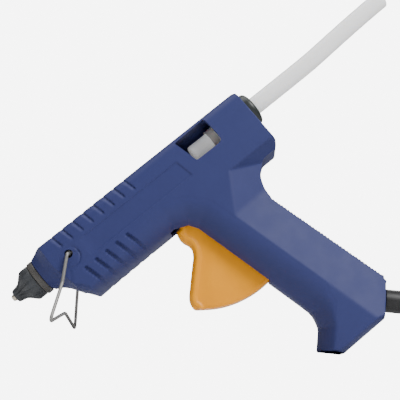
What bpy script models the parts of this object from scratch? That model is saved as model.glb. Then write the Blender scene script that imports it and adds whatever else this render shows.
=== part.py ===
"""Mains hot-melt glue gun, standing on its wire stand and handle foot. Blender 4.5, metres, +Z up.

Every piece is drawn in the gun's own frame, in millimetres: x runs back along the barrel, y to the right-hand
side, z up across the barrel, with the stick's axis as y = z = 0. GUN turns that frame into the standing pose.
"""

import math

import bmesh
import bpy
from mathutils import Matrix, Vector

MM = 0.001

# ---- Driving dimensions, millimetres ----
LEAN_DEG = 45.0            # nose-down lean when standing
AXIS_HEIGHT = 87.0448      # height of the frame's zero point above the floor
AXIS_SHIFT = -49.676       # puts the standing gun's middle over the origin
HALF_WIDTH = 19.0          # widest half width of the housing
WALL = 2.4
SPLIT_GAP = 0.15           # each half stops this far from the middle plane
SHELL_FRONT = -82.6
SHELL_REAR = 75.0
TOP = 11.8
BOTTOM = -31.0
STICK_R = 5.6
STICK_FRONT = 32.5
STICK_BEND_START = 128.0
STICK_END = 188.0
STICK_RISE = 3.2
BORE_R = 6.0
TRIGGER_PIVOT = (13.3, -32.7)
TRIGGER_ARM = 19.0
TRIGGER_ARM_DEG = 60.0
TRIGGER_ARC_R = 55.9
TRIGGER_HALF = 7.5
CLAW_PIVOT = (58.0, -11.0)
LINK_REAR = (53.8, -17.5)
PIN_R = 1.2
STAND_PIVOT = (-61.6, -4.3)
STAND_WIRE_R = 1.0
BOOT_R = 6.7
CORD_R = 3.1
TURN_OUTER_R = 39.6        # middle of the coil's outermost turn
COIL_OUTER_R = 42.9
COIL_INNER_R = 23.7
COIL_HEIGHT = 25.0
COIL_CENTRE = (163.5, 36.0)
PLUG_HALF_HEIGHT = 6.5
PLUG_LINE = -21.0           # the y along which the plug lies, in front of the coil
TAIL_BEND_R = 25.0          # the cord's bend between the coil and the plug
SCREWS = ((-56.0, -24.5), (-12.0, -24.5), (66.5, -23.5), (44.0, -60.0), (31.0, -108.0), (32.5, -137.0))
CLAMP_SCREWS = ((37.4, -119.0), (53.0, -119.0))

COS = math.cos(math.radians(LEAN_DEG))
SIN = math.sin(math.radians(LEAN_DEG))
GUN = Matrix(((COS, 0.0, -SIN, AXIS_SHIFT), (0.0, 1.0, 0.0, 0.0), (SIN, 0.0, COS, AXIS_HEIGHT),
              (0.0, 0.0, 0.0, 1.0)))

# Side outline of the barrel, x and z.
BARREL_SIDE = ((-82.6, 11.0), (-79.0, 11.8), (71.8, 11.8), (75.0, 8.9), (75.0, -27.0), (72.6, -31.0),
               (-64.3, -31.0), (-69.9, -23.4), (-74.4, -16.9), (-78.2, -13.0), (-82.6, -11.0))
# Half of the barrel's plan, x and y.
BARREL_PLAN = ((-82.6, 11.0), (-80.0, 13.6), (-77.5, 17.0), (-74.5, 19.0), (75.0, 19.0))
# Side outline of the handle, x and z.
HANDLE_SIDE = ((-9.0, -24.0), (-5.0, -31.0), (-1.0, -31.9), (2.4, -34.2), (5.6, -39.3), (24.6, -114.5),
               (25.4, -119.0), (25.1, -123.0), (23.1, -127.7), (13.9, -137.0), (24.2, -147.3),
               (54.9, -147.0),
               (70.3, -131.6), (71.2, -128.0), (51.1, -51.0), (51.8, -44.6), (54.0, -39.0), (57.5, -34.7),
               (62.5, -31.0), (64.0, -24.0))

# ---- Materials ----
FINISHES = {
    "blue_plastic": ((0.075, 0.100, 0.275), 0.0, 0.42),
    "orange_plastic": ((0.86, 0.39, 0.07), 0.0, 0.38),
    "dark_rubber": ((0.055, 0.060, 0.062), 0.0, 0.62),
    "black_rubber": ((0.012, 0.012, 0.013), 0.0, 0.55),
    "ring_grey": ((0.30, 0.27, 0.24), 0.0, 0.45),
    "collar_grey": ((0.060, 0.070, 0.065), 0.0, 0.50),
    "steel": ((0.62, 0.63, 0.65), 1.0, 0.30),
    "brass": ((0.78, 0.58, 0.25), 1.0, 0.32),
    "aluminium": ((0.72, 0.73, 0.75), 1.0, 0.42),
    "silicone": ((0.55, 0.10, 0.06), 0.0, 0.55),
    "mica": ((0.62, 0.56, 0.44), 0.0, 0.60),
    "ceramic": ((0.78, 0.76, 0.72), 0.0, 0.55),
    "glue": ((0.78, 0.84, 0.92), 0.0, 0.30),
    "white_nylon": ((0.80, 0.80, 0.78), 0.0, 0.42),
    "lead_brown": ((0.16, 0.07, 0.03), 0.0, 0.50),
    "lead_blue": ((0.03, 0.12, 0.42), 0.0, 0.50),
}


def material(name):
    """The Principled material of this name, made on first use."""
    found = bpy.data.materials.get(name)
    if found:
        return found
    colour, metallic, roughness = FINISHES[name]
    made = bpy.data.materials.new(name)
    made.use_nodes = True
    shader = made.node_tree.nodes["Principled BSDF"]
    shader.inputs["Base Color"].default_value = (*colour, 1.0)
    shader.inputs["Metallic"].default_value = metallic
    shader.inputs["Roughness"].default_value = roughness
    made.diffuse_color = (*colour, 1.0)
    return made


# ---- Solid helpers: every one returns an object in the gun's frame, in millimetres ----
def mesh_object(name, verts, faces):
    mesh = bpy.data.meshes.new(name)
    mesh.from_pydata(verts, [], faces)
    work = bmesh.new()
    work.from_mesh(mesh)
    bmesh.ops.remove_doubles(work, verts=work.verts, dist=1e-5)
    bmesh.ops.recalc_face_normals(work, faces=work.faces)
    work.to_mesh(mesh)
    work.free()
    obj = bpy.data.objects.new(name, mesh)
    bpy.context.scene.collection.objects.link(obj)
    return obj


def prism(name, outline, axis, low, high):
    """A flat outline pushed along one axis. The outline's pairs are the two other axes, in x, y, z order."""
    def point(pair, along):
        if axis == "x":
            return (along, pair[0], pair[1])
        if axis == "y":
            return (pair[0], along, pair[1])
        return (pair[0], pair[1], along)

    count = len(outline)
    verts = [point(pair, low) for pair in outline] + [point(pair, high) for pair in outline]
    sides = [(i, (i + 1) % count, count + (i + 1) % count, count + i) for i in range(count)]
    faces = [tuple(range(count))[::-1], tuple(range(count, 2 * count)), *sides]
    return mesh_object(name, verts, faces)


def block(name, x, y, z):
    """A box between the pairs x, y and z."""
    return prism(name, ((x[0], z[0]), (x[1], z[0]), (x[1], z[1]), (x[0], z[1])), "y", y[0], y[1])


def frame_of(direction):
    """Two unit vectors across this direction."""
    along = Vector(direction).normalized()
    helper = Vector((0.0, 0.0, 1.0)) if abs(along.z) < 0.9 else Vector((1.0, 0.0, 0.0))
    across = along.cross(helper).normalized()
    return along, across, along.cross(across)


def turned(name, profile, base=(0.0, 0.0, 0.0), direction=(1.0, 0.0, 0.0), segments=32, ring=False):
    """A profile of (distance along, radius) pairs turned about a line. With ring, it closes on itself."""
    along, across, over = frame_of(direction)
    verts = []
    for step in range(segments):
        angle = 2.0 * math.pi * step / segments
        out = across * math.cos(angle) + over * math.sin(angle)
        verts += [Vector(base) + along * far + out * radius for far, radius in profile]
    count = len(profile)
    faces = []
    for step in range(segments):
        here = step * count
        there = ((step + 1) % segments) * count
        for i in range(count if ring else count - 1):
            j = (i + 1) % count
            faces.append((here + i, here + j, there + j, there + i))
    if not ring:
        faces.append(tuple(step * count for step in range(segments)))
        faces.append(tuple(step * count + count - 1 for step in range(segments)))
    return mesh_object(name, verts, faces)


def rod(name, centre, radius, low, high, segments=20):
    """A round bar along y, through the (x, z) centre."""
    return turned(name, ((low, radius), (high, radius)), (centre[0], 0.0, centre[1]), (0.0, 1.0, 0.0),
                  segments)


def combine(target, other, operation):
    """Applies one exact Boolean and removes the other solid."""
    modifier = target.modifiers.new("combine", "BOOLEAN")
    modifier.operation = operation
    modifier.solver = "EXACT"
    modifier.object = other
    graph = bpy.context.evaluated_depsgraph_get()
    mesh = bpy.data.meshes.new_from_object(target.evaluated_get(graph))
    target.modifiers.clear()
    target.data = mesh
    bpy.data.objects.remove(other)
    return target


def cut(target, other):
    return combine(target, other, "DIFFERENCE")


def join(target, other):
    return combine(target, other, "UNION")


def common(target, other):
    return combine(target, other, "INTERSECT")


def copy_of(obj):
    """A second, separate solid of the same shape."""
    twin = obj.copy()
    twin.data = obj.data.copy()
    bpy.context.scene.collection.objects.link(twin)
    return twin


def merge_loose(objects):
    """Several separate solids as one cutter."""
    work = bmesh.new()
    for obj in objects:
        work.from_mesh(obj.data)
    mesh = bpy.data.meshes.new("loose")
    work.to_mesh(mesh)
    work.free()
    for obj in objects:
        bpy.data.objects.remove(obj)
    made = bpy.data.objects.new("loose", mesh)
    bpy.context.scene.collection.objects.link(made)
    return made


def place(obj, name, finish, origin=(0.0, 0.0, 0.0), smooth=False, in_gun=True):
    """Names the piece, sets its material, stands it up and puts its origin at this gun-frame point."""
    obj.name = name
    obj.data.name = name
    turn = GUN if in_gun else Matrix.Identity(4)
    centre = turn @ Vector(origin)
    obj.data.transform(Matrix.Scale(MM, 4) @ Matrix.Translation(-centre) @ turn)
    obj.location = centre * MM
    obj.data.materials.clear()
    obj.data.materials.append(material(finish))
    if smooth:
        obj.data.shade_smooth()
        obj.data.set_sharp_from_angle(angle=math.radians(38.0))
    return obj


def sweep(name, points, radius, finish, resolution=2, in_gun=True, origin=None):
    """A round wire or cord through these points, as a filled poly curve."""
    turn = GUN if in_gun else Matrix.Identity(4)
    centre = turn @ Vector(origin if origin else points[0])
    curve = bpy.data.curves.new(name, "CURVE")
    curve.dimensions = "3D"
    curve.bevel_depth = radius * MM
    curve.bevel_resolution = resolution
    curve.use_fill_caps = True
    line = curve.splines.new("POLY")
    line.points.add(len(points) - 1)
    for slot, point in zip(line.points, points):
        spot = (turn @ Vector(point) - centre) * MM
        slot.co = (*spot, 1.0)
    line.use_smooth = True
    curve.materials.append(material(finish))
    obj = bpy.data.objects.new(name, curve)
    obj.location = centre * MM
    bpy.context.scene.collection.objects.link(obj)
    return obj


def smooth_route(knots, spacing):
    """Evenly spaced points on a Catmull-Rom curve through the knots."""
    guides = [Vector(knot) for knot in knots]
    guides = [guides[0] * 2 - guides[1], *guides, guides[-1] * 2 - guides[-2]]
    fine = []
    for i in range(1, len(guides) - 2):
        a, b, c, d = guides[i - 1:i + 3]
        for step in range(24):
            t = step / 24.0
            fine.append(0.5 * ((2 * b) + (c - a) * t + (2 * a - 5 * b + 4 * c - d) * t * t
                               + (3 * b - a - 3 * c + d) * t ** 3))
    fine.append(guides[-2])
    lengths = [0.0]
    for before, after in zip(fine, fine[1:]):
        lengths.append(lengths[-1] + (after - before).length)
    count = max(2, round(lengths[-1] / spacing))
    route = []
    place_at = 0
    for step in range(count + 1):
        want = lengths[-1] * step / count
        while place_at < len(fine) - 2 and lengths[place_at + 1] < want:
            place_at += 1
        span = lengths[place_at + 1] - lengths[place_at]
        share = 0.0 if span == 0.0 else (want - lengths[place_at]) / span
        route.append(fine[place_at].lerp(fine[place_at + 1], min(1.0, max(0.0, share))))
    return route


def inset_outline(outline, distance):
    """The closed outline moved inwards by this distance, corner by corner."""
    area = sum(a[0] * b[1] - b[0] * a[1] for a, b in zip(outline, (*outline[1:], outline[0])))
    side = 1.0 if area > 0.0 else -1.0
    moved = []
    for i, here in enumerate(outline):
        before = outline[i - 1]
        after = outline[(i + 1) % len(outline)]
        a = Vector((here[0] - before[0], here[1] - before[1])).normalized()
        b = Vector((after[0] - here[0], after[1] - here[1])).normalized()
        na = Vector((-a.y, a.x)) * side
        nb = Vector((-b.y, b.x)) * side
        mitre = (na + nb).normalized()
        reach = distance / max(0.35, mitre.dot(na))
        moved.append((here[0] + mitre.x * reach, here[1] + mitre.y * reach))
    return tuple(moved)


# ---- Housing ----
def barrel_section(inset):
    """The barrel's cross-section in y and z: crowned shoulders above, chamfered corners below."""
    half = HALF_WIDTH - inset
    shoulder = 8.0 - inset
    points = []
    for step in range(6):
        angle = math.radians(90.0 * step / 5)
        points.append((half - shoulder + shoulder * math.cos(angle),
                       TOP - inset - shoulder + shoulder * math.sin(angle)))
    right = [(11.0 - 0.5 * inset, BOTTOM + inset), (half, -25.3 + 0.4 * inset), *points]
    left = [(-y, z) for y, z in reversed(right)]
    return tuple(right + left)


def barrel_solid(inset):
    """The barrel: cross-section, side outline and plan in common."""
    section = prism("section", barrel_section(inset), "x", SHELL_FRONT - 5.0, SHELL_REAR + 5.0)
    side = prism("side", inset_outline(BARREL_SIDE, inset), "y", -30.0, 30.0)
    plan = (*BARREL_PLAN, *[(x, -y) for x, y in reversed(BARREL_PLAN)])
    top = prism("plan", inset_outline(plan, inset), "z", -50.0, 30.0)
    return common(common(section, side), top)


def handle_section(inset):
    """The handle's cross-section, as depth behind the front line against y."""
    half = ((-20.0, 8.4), (1.0, 9.5), (6.0, 14.2), (12.0, 17.4), (18.0, HALF_WIDTH), (41.5, 9.5),
            (46.0, 6.0))
    outline = (*half, *[(depth, -y) for depth, y in reversed(half)])
    return inset_outline(outline, inset)


def handle_solid(inset):
    """The handle: its section pushed along the front line, cut to the side outline."""
    slope = Vector((24.6 - 5.6, 0.0, -114.5 + 39.3)).normalized()
    across = Vector((-slope.z, 0.0, slope.x))
    start = Vector((5.6, 0.0, -39.3)) - slope * 16.0
    end = start + slope * 140.0
    section = handle_section(inset)
    count = len(section)
    verts = [start + across * depth + Vector((0.0, y, 0.0)) for depth, y in section]
    verts += [end + across * depth + Vector((0.0, y, 0.0)) for depth, y in section]
    sides = [(i, (i + 1) % count, count + (i + 1) % count, count + i) for i in range(count)]
    body = mesh_object("handle", verts, [tuple(range(count)), tuple(range(count, 2 * count)), *sides])
    outline = inset_outline(HANDLE_SIDE, inset)
    return common(body, prism("outline", outline, "y", -30.0, 30.0))


def outer_solid():
    return join(barrel_solid(0.0), handle_solid(0.0))


def cavity_solid():
    """The hollow inside, less the screw posts and bearing posts that stand in it."""
    hollow = join(barrel_solid(WALL), handle_solid(WALL))
    for centre in SCREWS:
        hollow = cut(hollow, rod("post", centre, 4.4, 6.0, 40.0))
        hollow = cut(hollow, rod("post", centre, 3.1, -40.0, 6.1))
    for low, high in ((-40.0, -8.0), (8.0, 40.0)):
        hollow = cut(hollow, rod("bearing", TRIGGER_PIVOT, 4.2, low, high))
    for low, high in ((-40.0, -13.6), (13.6, 40.0)):
        hollow = cut(hollow, rod("stand_boss", STAND_PIVOT, 4.4, low, high))
    for centre in CLAMP_SCREWS:
        hollow = cut(hollow, rod("clamp_post", centre, 2.5, 0.0, 40.0))
    return hollow


def slanted_slot(centre_x, low, high, width, side, depth, lean):
    """One louvre groove: a thin slanted bar let into the wall. Its foot leads its head by lean."""
    outline = ((centre_x - width / 2, high), (centre_x + width / 2, high),
               (centre_x + width / 2 + lean, low), (centre_x - width / 2 + lean, low))
    inner = side * (HALF_WIDTH - depth)
    return prism("slot", outline, "y", min(inner, side * 30.0), max(inner, side * 30.0))


def louvres(side):
    """Eight short grooves over the panel and five long ones under it."""
    slots = [slanted_slot(-66.2 + 7.66 * i, 1.9, 9.0, 1.7, side, 0.9, 1.8) for i in range(8)]
    slots += [slanted_slot(-57.9 + 7.53 * i, -28.0, -16.4, 2.2, side, 1.1, 2.9) for i in range(5)]
    return merge_loose(slots)


def panel(side):
    """The shallow plain panel along the barrel."""
    outline = ((-54.0, -1.6), (20.4, -1.6), (23.4, -13.5), (-51.0, -13.5))
    inner = side * (HALF_WIDTH - 0.5)
    return prism("panel", outline, "y", min(inner, side * 30.0), max(inner, side * 30.0))


def shared_openings(shell):
    """Bores, the trigger's slot and the boot's hole, which both halves share."""
    shell = cut(shell, turned("nose_bore", ((SHELL_FRONT - 5.0, 8.6), (-75.0, 8.6))))
    shell = cut(shell, turned("stick_bore", ((68.0, 8.3), (72.2, 8.3), (72.21, 8.3), (80.0, 8.3))))
    slot = ((-8.0, -31.3), (12.0, -31.3), (14.0, -50.0), (25.0, -92.0), (10.0, -92.0), (-8.0, -50.0))
    shell = cut(shell, prism("trigger_slot", slot, "y", -8.0, 8.0))
    base, direction = boot_axis()
    shell = cut(shell, turned("boot_hole", ((-9.0, 5.0), (12.0, 5.0)), base, direction))
    shell = cut(shell, rod("stand_hole", STAND_PIVOT, 2.5, -40.0, 40.0))
    shell = cut(shell, rod("pivot_hole", TRIGGER_PIVOT, 2.2, -12.5, 12.5))
    return shell


def left_shell(outer, cavity):
    shell = cut(copy_of(outer), copy_of(cavity))
    shell = cut(shell, block("right_side", (-120.0, 120.0), (-SPLIT_GAP, 60.0), (-200.0, 60.0)))
    shell = shared_openings(shell)
    shell = cut(shell, louvres(-1.0))
    shell = cut(shell, panel(-1.0))
    window = ((28.0, 8.9), (49.6, 8.9), (50.0, 0.0), (50.0, -6.6), (48.6, -8.2), (46.8, -8.7), (33.0, -8.7),
              (30.6, -7.4))
    shell = cut(shell, prism("window", window, "y", -40.0, -12.0))
    for centre in SCREWS:
        shell = cut(shell, rod("thread", centre, 1.7, -10.5, 3.0))
    return place(shell, "left_shell", "blue_plastic", (0.0, -HALF_WIDTH, 0.0))


def right_shell(outer, cavity):
    shell = cut(outer, cavity)
    shell = cut(shell, block("left_side", (-120.0, 120.0), (-60.0, SPLIT_GAP), (-200.0, 60.0)))
    shell = shared_openings(shell)
    shell = cut(shell, louvres(1.0))
    shell = cut(shell, panel(1.0))
    for centre in SCREWS:
        shell = cut(shell, rod("clearance", centre, 1.7, -3.0, 12.0))
        shell = cut(shell, rod("head_recess", centre, 3.2, 9.5, 40.0))
    for centre in CLAMP_SCREWS:
        shell = cut(shell, rod("clamp_thread", centre, 1.4, -3.0, 8.5, 12))
    return place(shell, "right_shell", "blue_plastic", (0.0, HALF_WIDTH, 0.0))


def housing_screws():
    for number, centre in enumerate(SCREWS, 1):
        base = (centre[0], 0.0, centre[1])
        profile = ((-9.0, 1.0), (-8.0, 1.4), (9.8, 1.4), (9.8, 2.8), (11.2, 2.8), (11.9, 1.8))
        screw = turned("screw", profile, base, (0.0, 1.0, 0.0), 16)
        place(screw, f"housing_screw_{number}", "steel", base, smooth=True)


# ---- Nose and melting chamber ----
def nozzle():
    profile = ((-105.2, 0.9), (-105.2, 1.5), (-104.2, 2.1), (-103.3, 2.2), (-97.2, 3.8), (-92.0, 6.0),
               (-86.7, 6.0),
               (-86.7, 4.5), (-76.4, 4.5), (-76.4, 2.2), (-98.0, 2.0), (-101.0, 0.9))
    place(turned("nozzle", profile, ring=True), "nozzle", "brass", (-90.0, 0.0, 0.0), smooth=True)


def nozzle_sleeve():
    profile = ((-103.1, 2.6), (-103.0, 3.5), (-102.2, 4.1), (-98.6, 5.0), (-96.6, 6.5), (-94.6, 8.5),
               (-93.0, 9.9),
               (-91.8, 10.3), (-86.9, 10.3), (-86.9, 6.3), (-91.8, 6.3), (-97.0, 4.15))
    place(turned("sleeve", profile, ring=True, segments=40), "nozzle_sleeve", "dark_rubber", (-90.0, 0.0,
                                                                                              0.0),
          smooth=True)


def front_ring():
    profile = ((-86.6, 10.5), (-86.2, 10.9), (-83.3, 10.9), (-82.9, 10.6), (-82.9, 6.9), (-86.6, 6.9))
    place(turned("ring", profile, ring=True, segments=40), "front_ring", "ring_grey", (-84.7, 0.0, 0.0),
          smooth=True)


def melting_chamber():
    profile = ((-86.4, 4.8), (-86.4, 6.5), (-74.0, 6.5), (-74.0, 8.0), (-22.0, 8.0), (-22.0, BORE_R),
               (-71.0, BORE_R),
               (-75.6, 2.6), (-75.6, 4.8))
    chamber = turned("chamber", profile, ring=True)
    saddle = block("saddle", (-68.0, -30.0), (-9.0, 9.0), (-16.5, -6.6))
    saddle = cut(saddle, turned("bore", ((-90.0, 7.2), (-10.0, 7.2))))
    chamber = join(chamber, saddle)
    chamber = cut(chamber, block("pocket", (-80.0, -20.0), (-7.0, 7.0), (-14.2, -10.0)))
    place(chamber, "melting_chamber", "aluminium", (-50.0, 0.0, 0.0), smooth=True)


def heater():
    place(block("ptc", (-66.0, -32.0), (-6.5, 6.5), (-13.8, -10.4)), "heater_plate", "ceramic", (-49.0, 0.0,
                                                                                                 -12.1))
    clip = ((-10.4, -7.0), (-9.4, -7.0), (-9.4, -16.9), (9.4, -16.9), (9.4, -7.0), (10.4, -7.0),
            (10.4, -17.9), (-10.4, -17.9))
    place(prism("clip", clip, "x", -57.0, -41.0), "heater_clip", "steel", (-49.0, 0.0, -17.4))


def chamber_supports():
    profile = ((-79.8, 6.9), (-79.8, 9.2), (-76.6, 9.2), (-76.6, 6.9))
    place(turned("ring", profile, ring=True), "front_insulator", "ceramic", (-78.2, 0.0, 0.0), smooth=True)
    plate = block("plate", (-27.2, -24.6), (-15.8, 15.8), (-12.7, 8.9))
    corner = ((9.0, 10.0), (17.0, 10.0), (17.0, 1.0))
    plate = cut(plate, prism("corner", corner, "x", -30.0, -20.0))
    plate = cut(plate, prism("corner", [(-y, z) for y, z in corner], "x", -30.0, -20.0))
    plate = cut(plate, turned("hole", ((-30.0, 8.3), (-20.0, 8.3))))
    place(plate, "rear_insulator", "mica", (-25.9, 0.0, 0.0))


def inlet():
    profile = ((-21.7, BORE_R), (-21.7, 7.6), (3.0, 7.6), (8.0, 8.8), (8.0, 7.2), (4.0, BORE_R))
    place(turned("sleeve", profile, ring=True), "inlet_sleeve", "silicone", (-7.0, 0.0, 0.0), smooth=True)
    clip = ((-18.5, 7.9), (-18.5, 8.9), (-16.5, 8.9), (-16.5, 7.9))
    place(turned("clip", clip, ring=True), "inlet_clip", "steel", (-17.5, 0.0, 0.0), smooth=True)


# ---- Feed ----
def stick_rise(x):
    """How far the stick's middle has bent up off the axis at this x."""
    share = max(0.0, (x - STICK_BEND_START) / (STICK_END - STICK_BEND_START))
    return STICK_RISE * (1.6 * share - 0.6 * share * share) if share else 0.0


def glue_stick():
    stations = [STICK_FRONT, 60.0, 96.0, *[STICK_BEND_START + 7.5 * i for i in range(9)]]
    points = [(x, 0.0, stick_rise(x)) for x in stations]
    sweep("glue_stick", points, STICK_R, "glue", 5, origin=(STICK_FRONT, 0.0, 0.0))


def rear_collar():
    profile = ((72.9, 6.5), (69.5, 6.5), (69.5, 8.0), (75.3, 8.0), (75.3, 10.9), (78.3, 10.9), (80.0, 9.8),
               (80.6, 8.2), (80.0, 6.9), (79.0, 6.5))
    place(turned("collar", profile, ring=True, segments=40), "rear_collar", "collar_grey", (75.3, 0.0, 0.0),
          smooth=True)


def feed_carriage():
    profile = ((46.6, BORE_R), (46.6, 6.9), (52.0, 6.9), (53.0, 8.2), (66.0, 8.2), (66.0, BORE_R))
    body = turned("body", profile, ring=True)
    for side in (-1.0, 1.0):
        inner = side * 3.2
        outer = side * 5.4
        cheek = ((55.0, -6.8), (55.0, -12.0), (56.5, -13.6), (60.0, -13.6), (62.0, -12.0), (62.0, -6.8))
        cheek = prism("cheek", cheek, "y", min(inner, outer), max(inner, outer))
        cheek = cut(cheek, turned("bore", ((40.0, 6.6), (80.0, 6.6))))
        body = join(body, cheek)
    body = cut(body, block("claw_slot", (53.6, 61.5), (-3.0, 3.0), (-12.0, -3.0)))
    body = cut(body, rod("pin_hole", CLAW_PIVOT, 1.5, -8.0, 8.0))
    place(body, "feed_carriage", "white_nylon", (CLAW_PIVOT[0], 0.0, 0.0), smooth=True)


def claw():
    outline = ((54.6, -6.1), (56.8, -6.6), (60.2, -8.4), (61.0, -11.0), (60.0, -13.4), (56.6, -17.5),
               (55.6, -19.6),
               (53.8, -20.2), (52.0, -19.6), (51.4, -17.5), (52.0, -15.8), (54.6, -12.6), (55.2, -10.0),
               (54.2, -7.6))
    body = prism("claw", outline, "y", -2.7, 2.7)
    body = cut(body, rod("hole", CLAW_PIVOT, 1.5, -5.0, 5.0))
    body = cut(body, rod("hole", LINK_REAR, 1.5, -5.0, 5.0))
    place(body, "feed_claw", "steel", (CLAW_PIVOT[0], 0.0, CLAW_PIVOT[1]))
    place(rod("pin", CLAW_PIVOT, PIN_R, -5.9, 5.9), "claw_pin", "steel", (CLAW_PIVOT[0], 0.0,
                                                                          CLAW_PIVOT[1]), smooth=True)
    place(rod("pin", LINK_REAR, PIN_R, -5.2, 5.2), "link_pin_rear", "steel", (LINK_REAR[0], 0.0,
                                                                              LINK_REAR[1]), smooth=True)


def arm_pin():
    """Where the trigger's inner arm ends."""
    angle = math.radians(TRIGGER_ARM_DEG)
    return (TRIGGER_PIVOT[0] + TRIGGER_ARM * math.cos(angle),
            TRIGGER_PIVOT[1] + TRIGGER_ARM * math.sin(angle))


def capsule(start, end, radius, low, high):
    """A flat bar with round ends, from one (x, z) centre to another."""
    heading = math.atan2(end[1] - start[1], end[0] - start[0])
    outline = []
    for step in range(9):
        angle = heading + math.pi / 2 + math.pi * step / 8
        outline.append((start[0] + radius * math.cos(angle), start[1] + radius * math.sin(angle)))
    for step in range(9):
        angle = heading - math.pi / 2 + math.pi * step / 8
        outline.append((end[0] + radius * math.cos(angle), end[1] + radius * math.sin(angle)))
    return prism("bar", outline, "y", low, high)


def drive_links():
    front = arm_pin()
    for name, low, high in (("drive_link_left", -4.7, -3.1), ("drive_link_right", 3.1, 4.7)):
        bar = capsule(front, LINK_REAR, 2.9, low, high)
        bar = cut(bar, rod("hole", front, 1.9, -8.0, 8.0))
        bar = cut(bar, rod("hole", LINK_REAR, 1.5, -8.0, 8.0))
        place(bar, name, "steel", (LINK_REAR[0], low, LINK_REAR[1]))
    place(rod("pin", front, PIN_R, -5.2, 5.2), "link_pin_front", "steel", (front[0], 0.0, front[1]),
          smooth=True)


# ---- Trigger ----
def trigger_outline():
    """The blade's side view: lip, hollow finger face, tip and the round lower edge about the pivot."""
    points = [(-4.9, -31.5), (-5.8, -33.4), (-6.0, -36.0), (-5.5, -38.6), (-4.2, -41.2), (-3.9, -43.6),
              (-4.7, -46.6),
              (-6.6, -49.6), (-22.6, -65.4), (-24.6, -68.0), (-25.7, -71.0), (-25.6, -73.0), (-24.8, -74.1)]
    for step in range(1, 9):
        angle = math.radians(227.5 + (277.5 - 227.5) * step / 8)
        points.append((TRIGGER_PIVOT[0] + TRIGGER_ARC_R * math.cos(angle),
                       TRIGGER_PIVOT[1] + TRIGGER_ARC_R * math.sin(angle)))
    points += [(18.5, -70.0), (15.5, -52.0), (18.3, -37.0), (16.5, -31.5)]
    return points


def trigger():
    body = prism("blade", trigger_outline(), "y", -TRIGGER_HALF, TRIGGER_HALF)
    hollow = ((1.5, -40.0), (-0.5, -44.0), (-2.0, -50.0), (-20.0, -67.8), (-21.6, -72.0), (10.0, -84.6),
              (30.0, -86.0),
              (30.0, -40.0))
    body = cut(body, prism("hollow", hollow, "y", -TRIGGER_HALF + 2.2, TRIGGER_HALF - 2.2))
    body = join(body, rod("hub", TRIGGER_PIVOT, 5.0, -TRIGGER_HALF, 2.8))
    body = join(body, capsule(TRIGGER_PIVOT, arm_pin(), 3.0, -2.7, 2.7))
    body = cut(body, rod("spring_pocket", TRIGGER_PIVOT, 6.0, 2.9, 9.0))
    body = cut(body, rod("bore", TRIGGER_PIVOT, 2.2, -12.0, 12.0))
    body = cut(body, rod("hole", arm_pin(), 1.5, -12.0, 12.0))
    pivot = (TRIGGER_PIVOT[0], 0.0, TRIGGER_PIVOT[1])
    place(body, "trigger", "orange_plastic", pivot)
    place(rod("pin", TRIGGER_PIVOT, 1.9, -12.0, 12.0), "trigger_pin", "steel", pivot, smooth=True)


def trigger_spring():
    turns = 4
    radius = 3.1
    wire = 0.4
    steps = 12 * turns
    points = [(TRIGGER_PIVOT[0] + 9.0 * math.cos(math.radians(60.0)), 3.4,
               TRIGGER_PIVOT[1] + 9.0 * math.sin(math.radians(60.0)))]
    for step in range(steps + 1):
        angle = math.radians(150.0 + 360.0 * step / 12 * 1.0)
        points.append((TRIGGER_PIVOT[0] + radius * math.cos(angle), 3.5 + 3.6 * step / steps,
                       TRIGGER_PIVOT[1] + radius * math.sin(angle)))
    points.append((TRIGGER_PIVOT[0] + 11.0, 7.1, TRIGGER_PIVOT[1] + 4.0))
    sweep("trigger_spring", points, wire, "steel", 1, origin=(TRIGGER_PIVOT[0], 0.0, TRIGGER_PIVOT[1]))


# ---- Stand ----
def stand_point(back, side, up):
    """A point of the stand, given from its pivot in the standing pose, as gun-frame millimetres."""
    x = STAND_PIVOT[0] + COS * back + SIN * up
    z = STAND_PIVOT[1] - SIN * back + COS * up
    return (x, side, z)


def stand():
    pivot_height = SIN * STAND_PIVOT[0] + COS * STAND_PIVOT[1] + AXIS_HEIGHT
    foot = STAND_WIRE_R - pivot_height
    half = [(0.0, 12.4, 0.0), (0.0, 20.2, 0.0), (-0.05, 21.2, -0.5), (-0.1, 21.6, -1.6), (-0.5, 21.8,
                                                                                          -15.0),
            (-0.6, 22.2, -17.6), (-1.4, 31.6, foot + 4.0), (-1.5, 32.6, foot + 1.4), (-1.5, 32.3,
                                                                                      foot + 0.3),
            (-1.5, 31.2, foot), (-1.5, 29.5, foot + 0.2), (-1.5, 4.0, foot + 6.0), (-1.5, 2.0, foot + 6.4)]
    points = [stand_point(back, -side, up) for back, side, up in half]
    points += [stand_point(back, side, up) for back, side, up in reversed(half)]
    sweep("stand_wire", points, STAND_WIRE_R, "steel", 2, origin=(STAND_PIVOT[0], 0.0, STAND_PIVOT[1]))


# ---- Mains lead ----
def boot_axis():
    """Where the boot leaves the handle's corner face, and its level heading, in the gun's frame."""
    height = 33.3 - AXIS_HEIGHT
    reach = 142.8
    point = (COS * reach + SIN * height, 0.0, -SIN * reach + COS * height)
    heading = (COS, 0.0, -SIN)
    return point, heading


def boot():
    base, heading = boot_axis()
    profile = ((-8.0, CORD_R + 0.3), (-8.0, 6.6), (-3.4, 6.6), (-3.4, 4.6), (0.6, 4.6), (0.6, BOOT_R),
               (16.0, BOOT_R),
               (27.0, 5.6), (32.0, 4.7), (32.0, CORD_R + 0.3))
    body = turned("boot", profile, base, heading, 32, ring=True)
    place(body, "cord_boot", "black_rubber", base, smooth=True)


def world_boot_end(distance):
    base, heading = boot_axis()
    point = GUN @ (Vector(base) + Vector(heading) * distance)
    return point


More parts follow.
